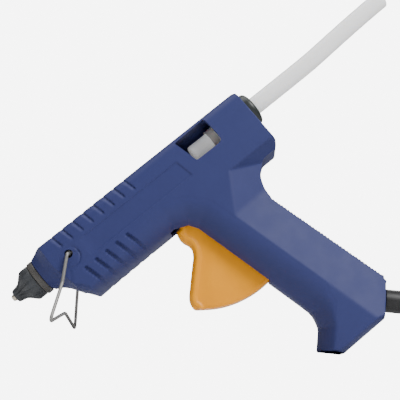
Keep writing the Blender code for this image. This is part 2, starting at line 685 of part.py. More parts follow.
def inner_cord():
    base, heading = boot_axis()
    points = [Vector(base) + Vector(heading) * far for far in (-9.0, -16.0)]
    points = [*points, Vector((47.6, 0.0, -127.5)), Vector((45.4, 0.0, -121.0)),
              Vector((45.2, 0.0, -115.5))]
    sweep("inner_cord", smooth_route(points, 4.0), CORD_R, "black_rubber", 3)


def cord_clamp():
    """The arched bar that holds the lead, with its two small screws into posts on the right half."""
    arch = ((35.6, -0.4), (41.0, -0.4), (41.6, -3.7), (48.8, -3.7), (49.4, -0.4), (54.8, -0.4),
            (54.8, -2.8), (51.0, -2.8),
            (50.2, -6.0), (40.2, -6.0), (39.4, -2.8), (35.6, -2.8))
    bar = prism("clamp", arch, "z", -121.5, -116.5)
    for number, centre in enumerate(CLAMP_SCREWS, 1):
        bar = cut(bar, rod("hole", centre, 1.4, -8.0, 8.0, 12))
        base = (centre[0], 0.0, centre[1])
        profile = ((7.0, 0.7), (6.2, 1.1), (-3.1, 1.1), (-3.1, 2.1), (-4.3, 2.1), (-4.8, 1.4))
        screw = turned("screw", profile, base, (0.0, 1.0, 0.0), 12)
        place(screw, f"clamp_screw_{number}", "steel", base, smooth=True)
    place(bar, "cord_clamp", "white_nylon", (45.2, 0.0, -119.0))


def terminals():
    block_body = block("terminals", (38.0, 50.0), (-8.5, 8.5), (-112.6, -104.0))
    place(block_body, "terminal_block", "white_nylon", (44.0, 0.0, -108.3))
    for name, side, finish in (("lead_live", -1.0, "lead_brown"), ("lead_neutral", 1.0, "lead_blue")):
        knots = ((44.0, side * 4.5, -103.6), (43.5, side * 8.0, -96.0), (40.0, side * 9.8, -84.0),
                 (35.0, side * 10.2, -70.0), (31.0, side * 11.2, -50.0),
                 (25.0, side * 11.2, -32.0), (14.0, side * 11.0, -23.0), (0.0, side * 10.0, -19.0),
                 (-14.0, side * 8.0, -17.6),
                 (-23.0, side * 5.8, -16.0), (-27.5, side * 4.8, -13.6), (-30.7, side * 4.5, -12.1))
        sweep(name, smooth_route(knots, 5.0), 0.9, finish, 2)


def mains_lead():
    """The free lead: a short drop from the boot, the ring that stands for its coil, and the tail to the plug."""
    start = world_boot_end(32.3)
    centre = Vector((COIL_CENTRE[0], COIL_CENTRE[1], 0.0))
    knots = (start, start + Vector((7.0, 0.0, 0.0)), start + Vector((13.0, -0.5, -1.6)),
             start + Vector((18.6, -1.3, -4.2)))
    sweep("mains_cord", smooth_route(knots, 6.0), CORD_R, "black_rubber", 3, in_gun=False)
    outer, inner, high = COIL_OUTER_R, COIL_INNER_R, COIL_HEIGHT
    round_off = 2.6
    profile = ((0.05, inner + round_off), (round_off, inner), (high - round_off, inner),
               (high, inner + round_off),
               (high, outer - round_off), (high - round_off, outer), (round_off, outer),
               (0.05, outer - round_off))
    coil = turned("coil", profile, centre, (0.0, 0.0, 1.0), 48, ring=True)
    place(coil, "cord_coil", "black_rubber", centre, smooth=True, in_gun=False)
    plug(centre)


def plug(centre):
    """The flat two-pin plug, lying on the floor in front of the coil, with the tail of cord that reaches it."""
    bend = Vector((centre.x - TURN_OUTER_R + TAIL_BEND_R, PLUG_LINE + TAIL_BEND_R, 0.0))
    neck = Vector((bend.x, PLUG_LINE, PLUG_HALF_HEIGHT))
    knots = [Vector((bend.x - TAIL_BEND_R, centre.y - 23.2, CORD_R + 0.1))]
    for degrees, high in ((0.0, 0.1), (22.5, 0.3), (45.0, 1.0), (67.5, 2.2), (84.0, 3.3)):
        turn = math.radians(degrees)
        knots.append(bend + Vector((-math.cos(turn), -math.sin(turn), 0.0)) * TAIL_BEND_R
                     + Vector((0.0, 0.0, CORD_R + high)))
    knots.append(neck + Vector((-0.5, 0.0, 0.0)))
    sweep("plug_tail", smooth_route(knots, 5.0), CORD_R, "black_rubber", 3, in_gun=False)
    half = ((0.0, 4.6), (8.0, 5.4), (13.0, 9.0), (16.0, 12.6), (33.0, 12.6), (36.0, 11.0))
    outline = (*half, *[(x, -y) for x, y in reversed(half)])
    body = prism("plug", outline, "z", -PLUG_HALF_HEIGHT, PLUG_HALF_HEIGHT)
    body.data.transform(Matrix.Translation(neck))
    place(body, "plug_body", "black_rubber", neck, in_gun=False)
    for name, side in (("plug_pin_1", -9.5), ("plug_pin_2", 9.5)):
        base = neck + Vector((36.3, side, 0.0))
        pin = turned("pin", ((0.0, 2.0), (18.0, 2.0), (19.0, 1.2)), base, (1.0, 0.0, 0.0), 16)
        place(pin, name, "steel", base, smooth=True, in_gun=False)


def build():
    for obj in list(bpy.data.objects):
        bpy.data.objects.remove(obj)
    bpy.context.scene.unit_settings.system = "METRIC"
    bpy.context.scene.unit_settings.scale_length = 1.0
    outer = outer_solid()
    cavity = cavity_solid()
    left_shell(outer, cavity)
    right_shell(outer, cavity)
    housing_screws()
    nozzle()
    nozzle_sleeve()
    front_ring()
    melting_chamber()
    heater()
    chamber_supports()
    inlet()
    glue_stick()
    rear_collar()
    feed_carriage()
    claw()
    drive_links()
    trigger()
    trigger_spring()
    stand()
    boot()
    inner_cord()
    cord_clamp()
    terminals()
    mains_lead()


build()
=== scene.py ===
"""Looks of a mains hot-melt glue gun standing on its wire stand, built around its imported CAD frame.

Shapes are drawn in the gun's own frame in millimetres: x back along the barrel, y to the right side, z up
across the barrel, with the glue stick's axis as y = z = 0. GUN stands that frame up, in metres.
"""

import logging
import math
from dataclasses import dataclass
from enum import Enum
from typing import Any, Callable, Iterable, Sequence

import bmesh
import bpy
import numpy as np
from mathutils import Matrix, Vector


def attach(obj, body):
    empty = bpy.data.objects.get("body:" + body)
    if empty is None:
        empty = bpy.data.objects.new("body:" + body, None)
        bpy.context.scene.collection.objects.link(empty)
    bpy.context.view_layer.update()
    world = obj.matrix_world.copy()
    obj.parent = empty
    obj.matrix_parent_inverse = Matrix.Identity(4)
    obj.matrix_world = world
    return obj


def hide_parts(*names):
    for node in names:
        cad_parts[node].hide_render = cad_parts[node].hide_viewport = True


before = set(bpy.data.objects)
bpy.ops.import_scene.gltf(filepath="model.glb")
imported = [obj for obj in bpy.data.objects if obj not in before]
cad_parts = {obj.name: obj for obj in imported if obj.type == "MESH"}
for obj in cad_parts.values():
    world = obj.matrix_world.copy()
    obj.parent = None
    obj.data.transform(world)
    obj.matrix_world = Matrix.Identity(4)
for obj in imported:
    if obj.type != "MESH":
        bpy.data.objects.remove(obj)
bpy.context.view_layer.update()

LOG = logging.getLogger("glue_gun")
MM = 0.001

LEAN = math.radians(45.0)
AXIS_SHIFT = -49.676
AXIS_HEIGHT = 87.0448
COS, SIN = math.cos(LEAN), math.sin(LEAN)
GUN = Matrix.Scale(MM, 4) @ Matrix(((COS, 0.0, -SIN, AXIS_SHIFT), (0.0, 1.0, 0.0, 0.0),
                                    (SIN, 0.0, COS, AXIS_HEIGHT), (0.0, 0.0, 0.0, 1.0)))
STANDING = Matrix.Scale(MM, 4)

Pair = tuple[float, float]
Triple = tuple[float, float, float]
Field = np.ndarray


class Side(Enum):
    """Which half of the housing: the sign of its y."""

    LEFT = -1.0
    RIGHT = 1.0


class Grain(Enum):
    """How a finish's surface texture runs."""

    MOULDED = "moulded"
    RUBBER = "rubber"
    BRUSHED = "brushed"
    CAST = "cast"


# ---------------------------------------------------------------- shader graphs
class Value:
    """A number that varies over a surface. Python's operators add the Math nodes."""

    def __init__(self, graph: "Graph", socket: bpy.types.NodeSocket) -> None:
        """Wraps one output socket of the graph."""
        self.graph = graph
        self.socket = socket

    def maths(self, operation: str, *operands: Any) -> "Value":
        """Adds one Math node.

        Args:
            operation: Blender's name of the operation.
            operands: the numbers or values that it takes, in order.

        Returns:
            The node's result.
        """
        made = self.graph.node("ShaderNodeMath", {"operation": operation}, dict(enumerate(operands)))
        return Value(self.graph, made.outputs[0])

    def __add__(self, other: Any) -> "Value":
        """Sum."""
        return self.maths("ADD", self, other)

    __radd__ = __add__

    def __mul__(self, other: Any) -> "Value":
        """Product."""
        return self.maths("MULTIPLY", self, other)

    __rmul__ = __mul__

    def __sub__(self, other: Any) -> "Value":
        """Difference."""
        return self.maths("SUBTRACT", self, other)

    def __rsub__(self, other: Any) -> "Value":
        """Difference, taken from a number."""
        return self.maths("SUBTRACT", other, self)

    def ramp(self, low: float, high: float) -> "Value":
        """0 at low, 1 at high, smooth and held between them."""
        made = self.graph.node("ShaderNodeMapRange", {"interpolation_type": "SMOOTHSTEP"},
                               {0: self, 1: low, 2: high, 3: 0.0, 4: 1.0})
        return Value(self.graph, made.outputs[0])


class Graph:
    """One material's node tree, with the calls that the finishes use."""

    def __init__(self, name: str) -> None:
        """Makes an empty node material around one Principled shader."""
        self.material = bpy.data.materials.new(name)
        self.material.use_nodes = True
        self.tree = self.material.node_tree
        self.shader = self.tree.nodes["Principled BSDF"]
        self.place = self.node("ShaderNodeTexCoord").outputs["Object"]

    def node(self, kind: str, settings: dict[str, Any] | None = None,
             inputs: dict[int | str, Any] | None = None) -> bpy.types.Node:
        """Adds one node.

        Args:
            kind: the node's type.
            settings: its own settings, set before its sockets.
            inputs: what goes into each input socket, by number or name: a value, a vector or a socket.

        Returns:
            The new node.
        """
        made = self.tree.nodes.new(kind)
        for key, value in (settings or {}).items():
            setattr(made, key, value)
        for key, value in (inputs or {}).items():
            if isinstance(value, Value):
                self.tree.links.new(value.socket, made.inputs[key])
            elif isinstance(value, bpy.types.NodeSocket):
                self.tree.links.new(value, made.inputs[key])
            else:
                made.inputs[key].default_value = value
        return made

    def stretched(self, scale: Triple) -> bpy.types.NodeSocket:
        """The place on the piece, scaled along each axis."""
        return self.node("ShaderNodeMapping", {}, {0: self.place, "Scale": scale}).outputs[0]

    def noise(self, size: float, detail: float = 3.0, stretch: Triple | None = None) -> Value:
        """Soft random mottling, 0 to 1.

        Args:
            size: the width of one patch, in metres.
            detail: how many finer layers are added.
            stretch: scale along each axis, for streaks.

        Returns:
            The noise's value.
        """
        where = self.stretched(stretch) if stretch else self.place
        made = self.node("ShaderNodeTexNoise", {}, {"Vector": where, "Scale": 1.0 / size, "Detail": detail})
        return Value(self, made.outputs[0])

    def cells(self, size: float) -> Value:
        """Distance to the nearest of many scattered points: the pebbled look of spark-eroded moulds."""
        made = self.node("ShaderNodeTexVoronoi", {"feature": "F1"}, {"Vector": self.place,
                                                                     "Scale": 1.0 / size})
        return Value(self, made.outputs[0])

    def edges(self) -> Value:
        """1 on convex edges, 0 elsewhere."""
        made = self.node("ShaderNodeNewGeometry")
        return Value(self, made.outputs["Pointiness"]).ramp(0.56, 0.68)

    def mix(self, share: Value, first: Any, second: Any) -> bpy.types.NodeSocket:
        """A colour between two colours, by share."""
        made = self.node("ShaderNodeMix", {"data_type": "RGBA"}, {0: share, 6: first, 7: second})
        return made.outputs[2]

    def feed(self, socket: str, value: Any) -> None:
        """Links a varying value, or sets a constant one, on the shader."""
        target = self.shader.inputs[socket]
        if isinstance(value, (Value, bpy.types.NodeSocket)):
            self.tree.links.new(value.socket if isinstance(value, Value) else value, target)
        else:
            target.default_value = value

    def bump(self, height: Value, depth: float, strength: float = 1.0) -> None:
        """Raises the surface by height times depth, in metres."""
        made = self.node("ShaderNodeBump", {}, {"Height": height, "Distance": depth, "Strength": strength})
        self.feed("Normal", made.outputs[0])


@dataclass(frozen=True)
class Finish:
    """One material: its colour, gloss, surface grain and wear."""

    name: str
    slot: str
    colour: Triple
    roughness: float
    grain: Grain = Grain.MOULDED
    metallic: float = 0.0
    grain_size: float = 0.0006
    grain_depth: float = 0.00004
    mottle: float = 0.10
    wear: float = 0.25
    streak: Triple = (1.0, 1.0, 1.0)
    specular: float = 0.5
    extras: tuple[tuple[str, Any], ...] = ()

    def shade(self, share: float) -> tuple[float, float, float, float]:
        """The finish's colour, lighter or darker by this share."""
        return (*[min(1.0, max(0.0, part * (1.0 + share))) for part in self.colour], 1.0)

    def texture(self, graph: Graph) -> Value:
        """The height of the surface grain, 0 to 1."""
        if self.grain is Grain.BRUSHED:
            return graph.noise(self.grain_size, 4.0, self.streak)
        if self.grain is Grain.CAST:
            return graph.noise(self.grain_size, 6.0) * 0.7 + graph.cells(self.grain_size * 2.0) * 0.3
        if self.grain is Grain.RUBBER:
            return graph.noise(self.grain_size, 5.0)
        return graph.cells(self.grain_size) * 0.6 + graph.noise(self.grain_size * 0.6, 2.0) * 0.4

    def colouring(self, graph: Graph) -> bpy.types.NodeSocket:
        """The mottled base colour with lighter edges and a little dust-grey in it."""
        cloud = graph.noise(0.018, 4.0).ramp(0.30, 0.70)
        fine = graph.noise(0.0022, 3.0).ramp(0.25, 0.75)
        tint = graph.mix(cloud * 0.65 + fine * 0.35, self.shade(-self.mottle), self.shade(self.mottle))
        if not self.wear:
            return tint
        scuff = graph.edges() * graph.noise(0.004, 4.0).ramp(0.40, 0.62)
        return graph.mix(scuff * self.wear, tint, self.shade(0.5))

    def paint(self) -> bpy.types.Material:
        """Makes the material on its first use.

        Returns:
            The finished material.
        """
        name = f"{self.name}_finish"
        found = bpy.data.materials.get(name)
        if found:
            return found
        graph = Graph(name)
        graph.feed("Base Color", self.colouring(graph))
        graph.feed("Metallic", self.metallic)
        graph.feed("Specular IOR Level", self.specular)
        patches = graph.noise(0.011, 3.0).ramp(0.30, 0.70)
        graph.feed("Roughness", patches * 0.05 + (self.roughness - 0.025))
        graph.bump(self.texture(graph), self.grain_depth)
        for socket, value in self.extras:
            graph.feed(socket, value)
        graph.material.diffuse_color = (*self.colour, 1.0)
        return graph.material


HOUSING_BLUE = Finish("housing_blue", "blue_plastic", (0.034, 0.042, 0.148), 0.54, grain_size=0.0005,
                      grain_depth=0.00003, mottle=0.03, wear=0.22, specular=0.24)
TRIGGER_ORANGE = Finish("trigger_orange", "orange_plastic", (1.00, 0.370, 0.001), 0.40, grain_size=0.0005,
                        grain_depth=0.000015, mottle=0.04, wear=0.15, specular=0.28)
SLEEVE_SLATE = Finish("sleeve_slate", "dark_rubber", (0.040, 0.044, 0.050), 0.50, Grain.RUBBER,
                      grain_size=0.0009,
                      grain_depth=0.00005, mottle=0.22, wear=0.45)
LEAD_BLACK = Finish("lead_black", "black_rubber", (0.010, 0.010, 0.011), 0.48, Grain.RUBBER,
                    grain_size=0.0007,
                    grain_depth=0.00003, mottle=0.30, wear=0.20)
RING_GREY = Finish("ring_grey", "ring_grey", (0.085, 0.080, 0.074), 0.42, grain_depth=0.00003, mottle=0.12,
                   wear=0.3)
COLLAR_GREY = Finish("collar_grey", "collar_grey", (0.016, 0.022, 0.021), 0.42, grain_depth=0.00002,
                     wear=0.35)
ZINC = Finish("zinc_steel", "steel", (0.62, 0.62, 0.63), 0.30, Grain.BRUSHED, 1.0, 0.0007, 0.00002, 0.16,
              0.2,
              (1.0, 1.0, 0.12))
BAIL_STEEL = Finish("drawn_steel", "steel", (0.30, 0.295, 0.285), 0.55, Grain.BRUSHED, 0.7, 0.0009,
                    0.000001, 0.10, 0.0,
                    (1.0, 1.0, 1.0))
BRASS = Finish("turned_brass", "brass", (0.66, 0.60, 0.48), 0.32, Grain.BRUSHED, 1.0, 0.0004, 0.00002, 0.18,
               0.3,
               (4.0, 0.4, 4.0))
ALUMINIUM = Finish("cast_aluminium", "aluminium", (0.60, 0.61, 0.62), 0.48, Grain.CAST, 1.0, 0.0009,
                   0.00008, 0.12)
SILICONE = Finish("red_silicone", "silicone", (0.42, 0.060, 0.035), 0.52, Grain.RUBBER, mottle=0.14)
MICA = Finish("mica_board", "mica", (0.50, 0.44, 0.33), 0.55, Grain.CAST, grain_size=0.0015, mottle=0.28,
              wear=0.1)
CERAMIC = Finish("white_ceramic", "ceramic", (0.72, 0.70, 0.65), 0.50, Grain.CAST, grain_size=0.0006,
                 mottle=0.06)
NYLON = Finish("white_nylon", "white_nylon", (0.72, 0.72, 0.69), 0.40, grain_depth=0.00002, mottle=0.05,
               extras=(("Subsurface Weight", 0.15), ("Subsurface Scale", 0.002)))
LEAD_BROWN = Finish("lead_brown", "lead_brown", (0.120, 0.048, 0.022), 0.45, Grain.RUBBER, mottle=0.18)
LEAD_BLUE = Finish("lead_blue", "lead_blue", (0.020, 0.080, 0.330), 0.45, Grain.RUBBER, mottle=0.18)
# The clear glue's emission strength is a painted glow: the stick gives off a faint white light of its own,
# though it is no lamp. Its subsurface and coat settings are the glue's real translucency and gloss.
GLUE_WITH_PAINTED_GLOW = Finish("clear_glue_painted_glow", "glue", (0.97, 0.975, 0.98), 0.34, Grain.BRUSHED, 0.0, 0.0022, 0.00005, 0.04,
              0.0,
              (0.25, 1.0, 0.25), extras=(("Subsurface Weight", 0.75), ("Subsurface Scale", 0.006),
                                         ("Emission Strength", 0.25),
                                         ("Subsurface Radius", (1.0, 0.95, 0.85)), ("Coat Weight", 0.15)))


# ---------------------------------------------------------------- plane fields
def smooth_min(first: Field, second: Field | float, reach: float) -> Field:
    """The lower of two heights, with their crossing rounded over about this reach."""
    share = np.clip(0.5 + 0.5 * (second - first) / reach, 0.0, 1.0)
    return second + (first - second) * share - reach * share * (1.0 - share)


def smooth_step(low: float, high: float, value: Field) -> Field:
    """0 below low, 1 above high, and smooth between them."""
    share = np.clip((value - low) / (high - low), 0.0, 1.0)
    return share * share * (3.0 - 2.0 * share)


def from_line(x: Field, z: Field, start: Pair, end: Pair) -> tuple[Field, Field]:
    """Distance to a segment, and how far along it the nearest point is, 0 to 1.

    Args:
        x: where along the barrel.
        z: where across the barrel.
        start: the segment's first end.
        end: its other end.

    Returns:
        The distances and the shares.
    """
    dx, dz = end[0] - start[0], end[1] - start[1]
    share = np.clip(((x - start[0]) * dx + (z - start[1]) * dz) / (dx * dx + dz * dz + 1e-12), 0.0, 1.0)
    return np.hypot(x - start[0] - share * dx, z - start[1] - share * dz), share


def in_outline(x: Field, z: Field, outline: Sequence[Pair]) -> Field:
    """Signed distance to a closed outline: negative inside."""
    nearest = np.full(x.shape, 1e9)
    inside = np.zeros(x.shape, bool)
    for i, start in enumerate(outline):
        end = outline[(i + 1) % len(outline)]
        nearest = np.minimum(nearest, from_line(x, z, start, end)[0])
        crosses = (start[1] > z) != (end[1] > z)
        rise = end[1] - start[1] or 1e-12
        inside ^= crosses & (x < (end[0] - start[0]) * (z - start[1]) / rise + start[0])
    return np.where(inside, -nearest, nearest)


def round_corners(outline: Sequence[Pair], radius: float, steps: int = 4) -> list[Pair]:
    """The outline with each corner swapped for a short curve.

    Args:
        outline: the closed outline.
        radius: how far from the corner the curve starts, at most.
        steps: pieces in each curve.

    Returns:
        The softer outline.
    """
    soft: list[Pair] = []
    for i, corner in enumerate(outline):
        here = Vector(corner)
        ends = []
        for other in (outline[i - 1], outline[(i + 1) % len(outline)]):
            toward = Vector(other) - here
            ends.append(here + toward.normalized() * min(radius, toward.length * 0.45))
        for step in range(steps + 1):
            t = step / steps
            point = ends[0] * (1 - t) ** 2 + here * 2 * t * (1 - t) + ends[1] * t * t
            soft.append((point.x, point.y))
    return soft


# ---------------------------------------------------------------- solids
def new_object(name: str, verts: Iterable[Sequence[float]],
               faces: Iterable[Sequence[int]]) -> bpy.types.Object:
    """A mesh object whose faces all look outwards."""
    mesh = bpy.data.meshes.new(name)
    mesh.from_pydata([tuple(vert) for vert in verts], [], [tuple(face) for face in faces])
    work = bmesh.new()
    work.from_mesh(mesh)
    bmesh.ops.remove_doubles(work, verts=work.verts, dist=1e-5)
    bmesh.ops.recalc_face_normals(work, faces=work.faces)
    work.to_mesh(mesh)
    work.free()
    made = bpy.data.objects.new(name, mesh)
    bpy.context.scene.collection.objects.link(made)
    return made


def prism(outline: Sequence[Pair], low: float, high: float, axis: str = "y") -> bpy.types.Object:
    """A flat outline pushed along one axis.

    Args:
        outline: pairs along the two other axes, in x, y, z order.
        low: where the solid starts along the axis.
        high: where it ends.
        axis: x, y or z.

    Returns:
        The solid.
    """
    at = "xyz".index(axis)
    verts = [[*pair[:at], along, *pair[at:]] for along in (low, high) for pair in outline]
    count = len(outline)
    sides = [(i, (i + 1) % count, count + (i + 1) % count, count + i) for i in range(count)]
    return new_object("solid", verts, [range(count), range(count, 2 * count), *sides])


def lathe(profile: Sequence[Pair], base: Triple = (0.0, 0.0, 0.0), direction: Triple = (1.0, 0.0, 0.0),
          segments: int = 64, ring: bool = False,
          swell: Callable[[float, float], float] = lambda far, angle: 1.0) -> bpy.types.Object:
    """A profile turned about a line.

    Args:
        profile: pairs of distance along the line and radius.
        base: where the line starts.
        direction: where it heads.
        segments: steps round the line.
        ring: whether the profile closes on itself.
        swell: a factor on the radius at each distance and angle, for flutes.

    Returns:
        The turned solid.
    """
    along = Vector(direction).normalized()
    helper = Vector((0.0, 0.0, 1.0)) if abs(along.z) < 0.9 else Vector((1.0, 0.0, 0.0))
    across = along.cross(helper).normalized()
    over = along.cross(across)
    verts = []
    for step in range(segments):
        angle = 2.0 * math.pi * step / segments
        out = across * math.cos(angle) + over * math.sin(angle)
        verts += [Vector(base) + along * far + out * (radius * swell(far, angle)) for far,
                  radius in profile]
    count = len(profile)
    faces = []
    for step in range(segments):
        here, there = step * count, ((step + 1) % segments) * count
        for i in range(count if ring else count - 1):
            j = (i + 1) % count
            faces.append((here + i, here + j, there + j, there + i))
    if not ring:
        faces += [[step * count for step in range(segments)],
                  [step * count + count - 1 for step in range(segments)]]
    return new_object("turned", verts, faces)


def rod(centre: Pair, radius: float, low: float, high: float, segments: int = 48) -> bpy.types.Object:
    """A round bar along y."""
    return lathe(((low, radius), (high, radius)), (centre[0], 0.0, centre[1]), (0.0, 1.0, 0.0), segments)


def combine(target: bpy.types.Object, other: bpy.types.Object, operation: str = "DIFFERENCE",
            solver: str = "EXACT") -> bpy.types.Object:
    """Applies one Boolean and removes the other solid."""
    modifier = target.modifiers.new("combine", "BOOLEAN")
    modifier.operation, modifier.solver, modifier.object = operation, solver, other
    graph = bpy.context.evaluated_depsgraph_get()
    mesh = bpy.data.meshes.new_from_object(target.evaluated_get(graph))
    target.modifiers.clear()
    target.data = mesh
    bpy.data.objects.remove(other)
    return target


def curve_through(knots: Sequence[Triple], spacing: float) -> list[Vector]:
    """Evenly spaced points on a smooth curve through the knots.

    Args:
        knots: the points it passes.
        spacing: about how far apart the new points are.

    Returns:
        The points, both ends included.
    """
    guides = [Vector(knot) for knot in knots]
    guides = [guides[0] * 2 - guides[1], *guides, guides[-1] * 2 - guides[-2]]
    fine = []
    for a, b, c, d in zip(guides, guides[1:], guides[2:], guides[3:]):
        for step in range(24):
            t = step / 24.0
            fine.append(0.5 * ((2 * b) + (c - a) * t + (2 * a - 5 * b + 4 * c - d) * t * t
                               + (3 * b - a - 3 * c + d) * t ** 3))
    fine.append(guides[-2])
    reach = np.concatenate([[0.0], np.cumsum([(q - p).length for p, q in zip(fine, fine[1:])])])
    wanted = np.linspace(0.0, reach[-1], max(2, round(reach[-1] / spacing)) + 1)
    table = np.array([tuple(point) for point in fine])
    return [Vector([np.interp(at, reach, table[:, axis]) for axis in range(3)]) for at in wanted]


def length_of(points: Sequence[Vector]) -> float:
    """The length of the line through the points."""
    return sum((after - before).length for before, after in zip(points, points[1:]))


def tube(name: str, points: Sequence[Vector], radius: float, resolution: int = 5) -> bpy.types.Object:
    """A round wire or cord through the points, as one open spline with closed ends."""
    curve = bpy.data.curves.new(name, "CURVE")
    curve.dimensions = "3D"
    curve.bevel_depth, curve.bevel_resolution, curve.use_fill_caps = radius, resolution, True
    line = curve.splines.new("POLY")
    line.points.add(len(points) - 1)
    for slot, point in zip(line.points, points):
        slot.co = (*point, 1.0)
    line.use_smooth = True
    made = bpy.data.objects.new(name, curve)
    bpy.context.scene.collection.objects.link(made)
    return made


@dataclass
class Relief:
    """A solid whose broad face is a height over its side view, meshed on a fine lattice."""

    outline: Sequence[Pair]
    height: Callable[[Field, Field], Field]
    pitch: float = 0.55
    trim: Callable[[Field, Field], Field] = lambda x, z: np.zeros_like(x)

    def edge_distance(self, x: Field, z: Field) -> Field:
        """Signed distance to the outline, less what is trimmed from it."""
        return in_outline(x, z, self.outline) + self.trim(x, z)

    def lattice(self) -> tuple[Field, Field, Field]:
        """The lattice's x and z, and which of its cells are kept."""
        corners = np.array(self.outline)
        axes = [np.arange(low - 1.5 * self.pitch, high + 2.5 * self.pitch, self.pitch)
                for low, high in zip(corners.min(0), corners.max(0))]
        x, z = np.meshgrid(*axes, indexing="ij")
        middle_x, middle_z = x[:-1, :-1] + self.pitch / 2, z[:-1, :-1] + self.pitch / 2
        kept = self.edge_distance(middle_x, middle_z) < 0.0
        for _ in range(4):
            a, b, c, d = kept[:-1, :-1], kept[1:, :-1], kept[:-1, 1:], kept[1:, 1:]
            first, second = a & d & ~b & ~c, b & c & ~a & ~d
            kept[1:, :-1] |= first
            kept[:-1, :-1] |= second
        return x, z, kept

    def snapped(self, x: Field, z: Field, border: Field) -> tuple[Field, Field]:
        """Moves the border's lattice points onto the outline."""
        for _ in range(3):
            away = self.edge_distance(x, z)
            step = 0.05
            slope_x = (self.edge_distance(x + step, z) - self.edge_distance(x - step, z)) / (2 * step)
            slope_z = (self.edge_distance(x, z + step) - self.edge_distance(x, z - step)) / (2 * step)
            size = np.maximum(np.hypot(slope_x, slope_z), 0.3) ** 2
            shift = np.clip(away / size, -self.pitch, self.pitch) * border
            x, z = x - shift * slope_x, z - shift * slope_z
        return x, z

    def build(self, side: Side | None, gap: float = 0.15) -> bpy.types.Object:
        """Meshes the solid.

        Args:
            side: the half that it is, or None for both halves in one.
            gap: for a half, how far its flat back stands from the middle plane.

        Returns:
            The closed solid, in the gun's frame.
        """
        x, z, kept = self.lattice()
        used = np.zeros(x.shape, int)
        for i, j in ((0, 0), (1, 0), (0, 1), (1, 1)):
            used[i:i + kept.shape[0], j:j + kept.shape[1]] += kept
        border = (used > 0) & (used < 4)
        x, z = self.snapped(x, z, border.astype(float))
        high = self.height(x, z)
        number = np.full(x.shape, -1)
        number[used > 0] = np.arange((used > 0).sum())
        chosen = used > 0
        sign = side.value if side else 1.0
        low = sign * gap if side else -high[chosen]
        top = np.column_stack([x[chosen], sign * high[chosen], z[chosen]])
        bottom = np.column_stack([x[chosen], np.broadcast_to(low, high[chosen].shape), z[chosen]])
        i, j = np.nonzero(kept)
        quads = np.column_stack([number[i, j], number[i + 1, j], number[i + 1, j + 1], number[i, j + 1]])
        edges = np.concatenate([quads[:, [k, (k + 1) % 4]] for k in range(4)])
        count = len(top)
        keys = edges[:, 0] * count + edges[:, 1]
        rim = edges[~np.isin(keys, edges[:, 1] * count + edges[:, 0])]
        walls = np.column_stack([rim[:, 0], rim[:, 1], rim[:, 1] + count, rim[:, 0] + count])
        faces = np.concatenate([quads, quads[:, ::-1] + count, walls])
        return new_object("relief", np.concatenate([top, bottom]), faces.tolist())


# ---------------------------------------------------------------- pieces
@dataclass
class Assembly:
    """A group of pieces on one body, with the calls that name, stand up and dress them."""

    body: str = "housing"

    def keep(self, piece: bpy.types.Object, name: str, finish: Finish, stands_for: Sequence[str] = (),
             body: str | None = None, sharp: float = 38.0, turn: Matrix = GUN) -> bpy.types.Object:
        """Finishes one new piece.

        Args:
            piece: the object, in millimetres.
            name: its name.
            finish: its material.
            stands_for: the CAD nodes that it replaces.
            body: the body that it rides on, if not the assembly's.
            sharp: edges over this many degrees stay crisp.
            turn: takes the piece's millimetres to the standing frame in metres.

        Returns:
            The piece, in place.
        """
        piece.name = name
        piece.data.name = name
        piece.data.transform(turn)
        if piece.type == "MESH":
            piece.data.shade_smooth()
            piece.data.set_sharp_from_angle(angle=math.radians(sharp))
        piece.data.materials.clear()
        piece.data.materials.append(finish.paint())
        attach(piece, body or self.body)
        if stands_for:
            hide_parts(*stands_for)
        LOG.info("built %s on %s", name, body or self.body)
        return piece

    def dress(self, finish: Finish, *nodes: str) -> None:
        """Gives carried-over CAD nodes a finish."""
        for node in nodes:
            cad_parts[node].data.materials.clear()
            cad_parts[node].data.materials.append(finish.paint())
            LOG.info("dressed %s in %s", node, finish.name)


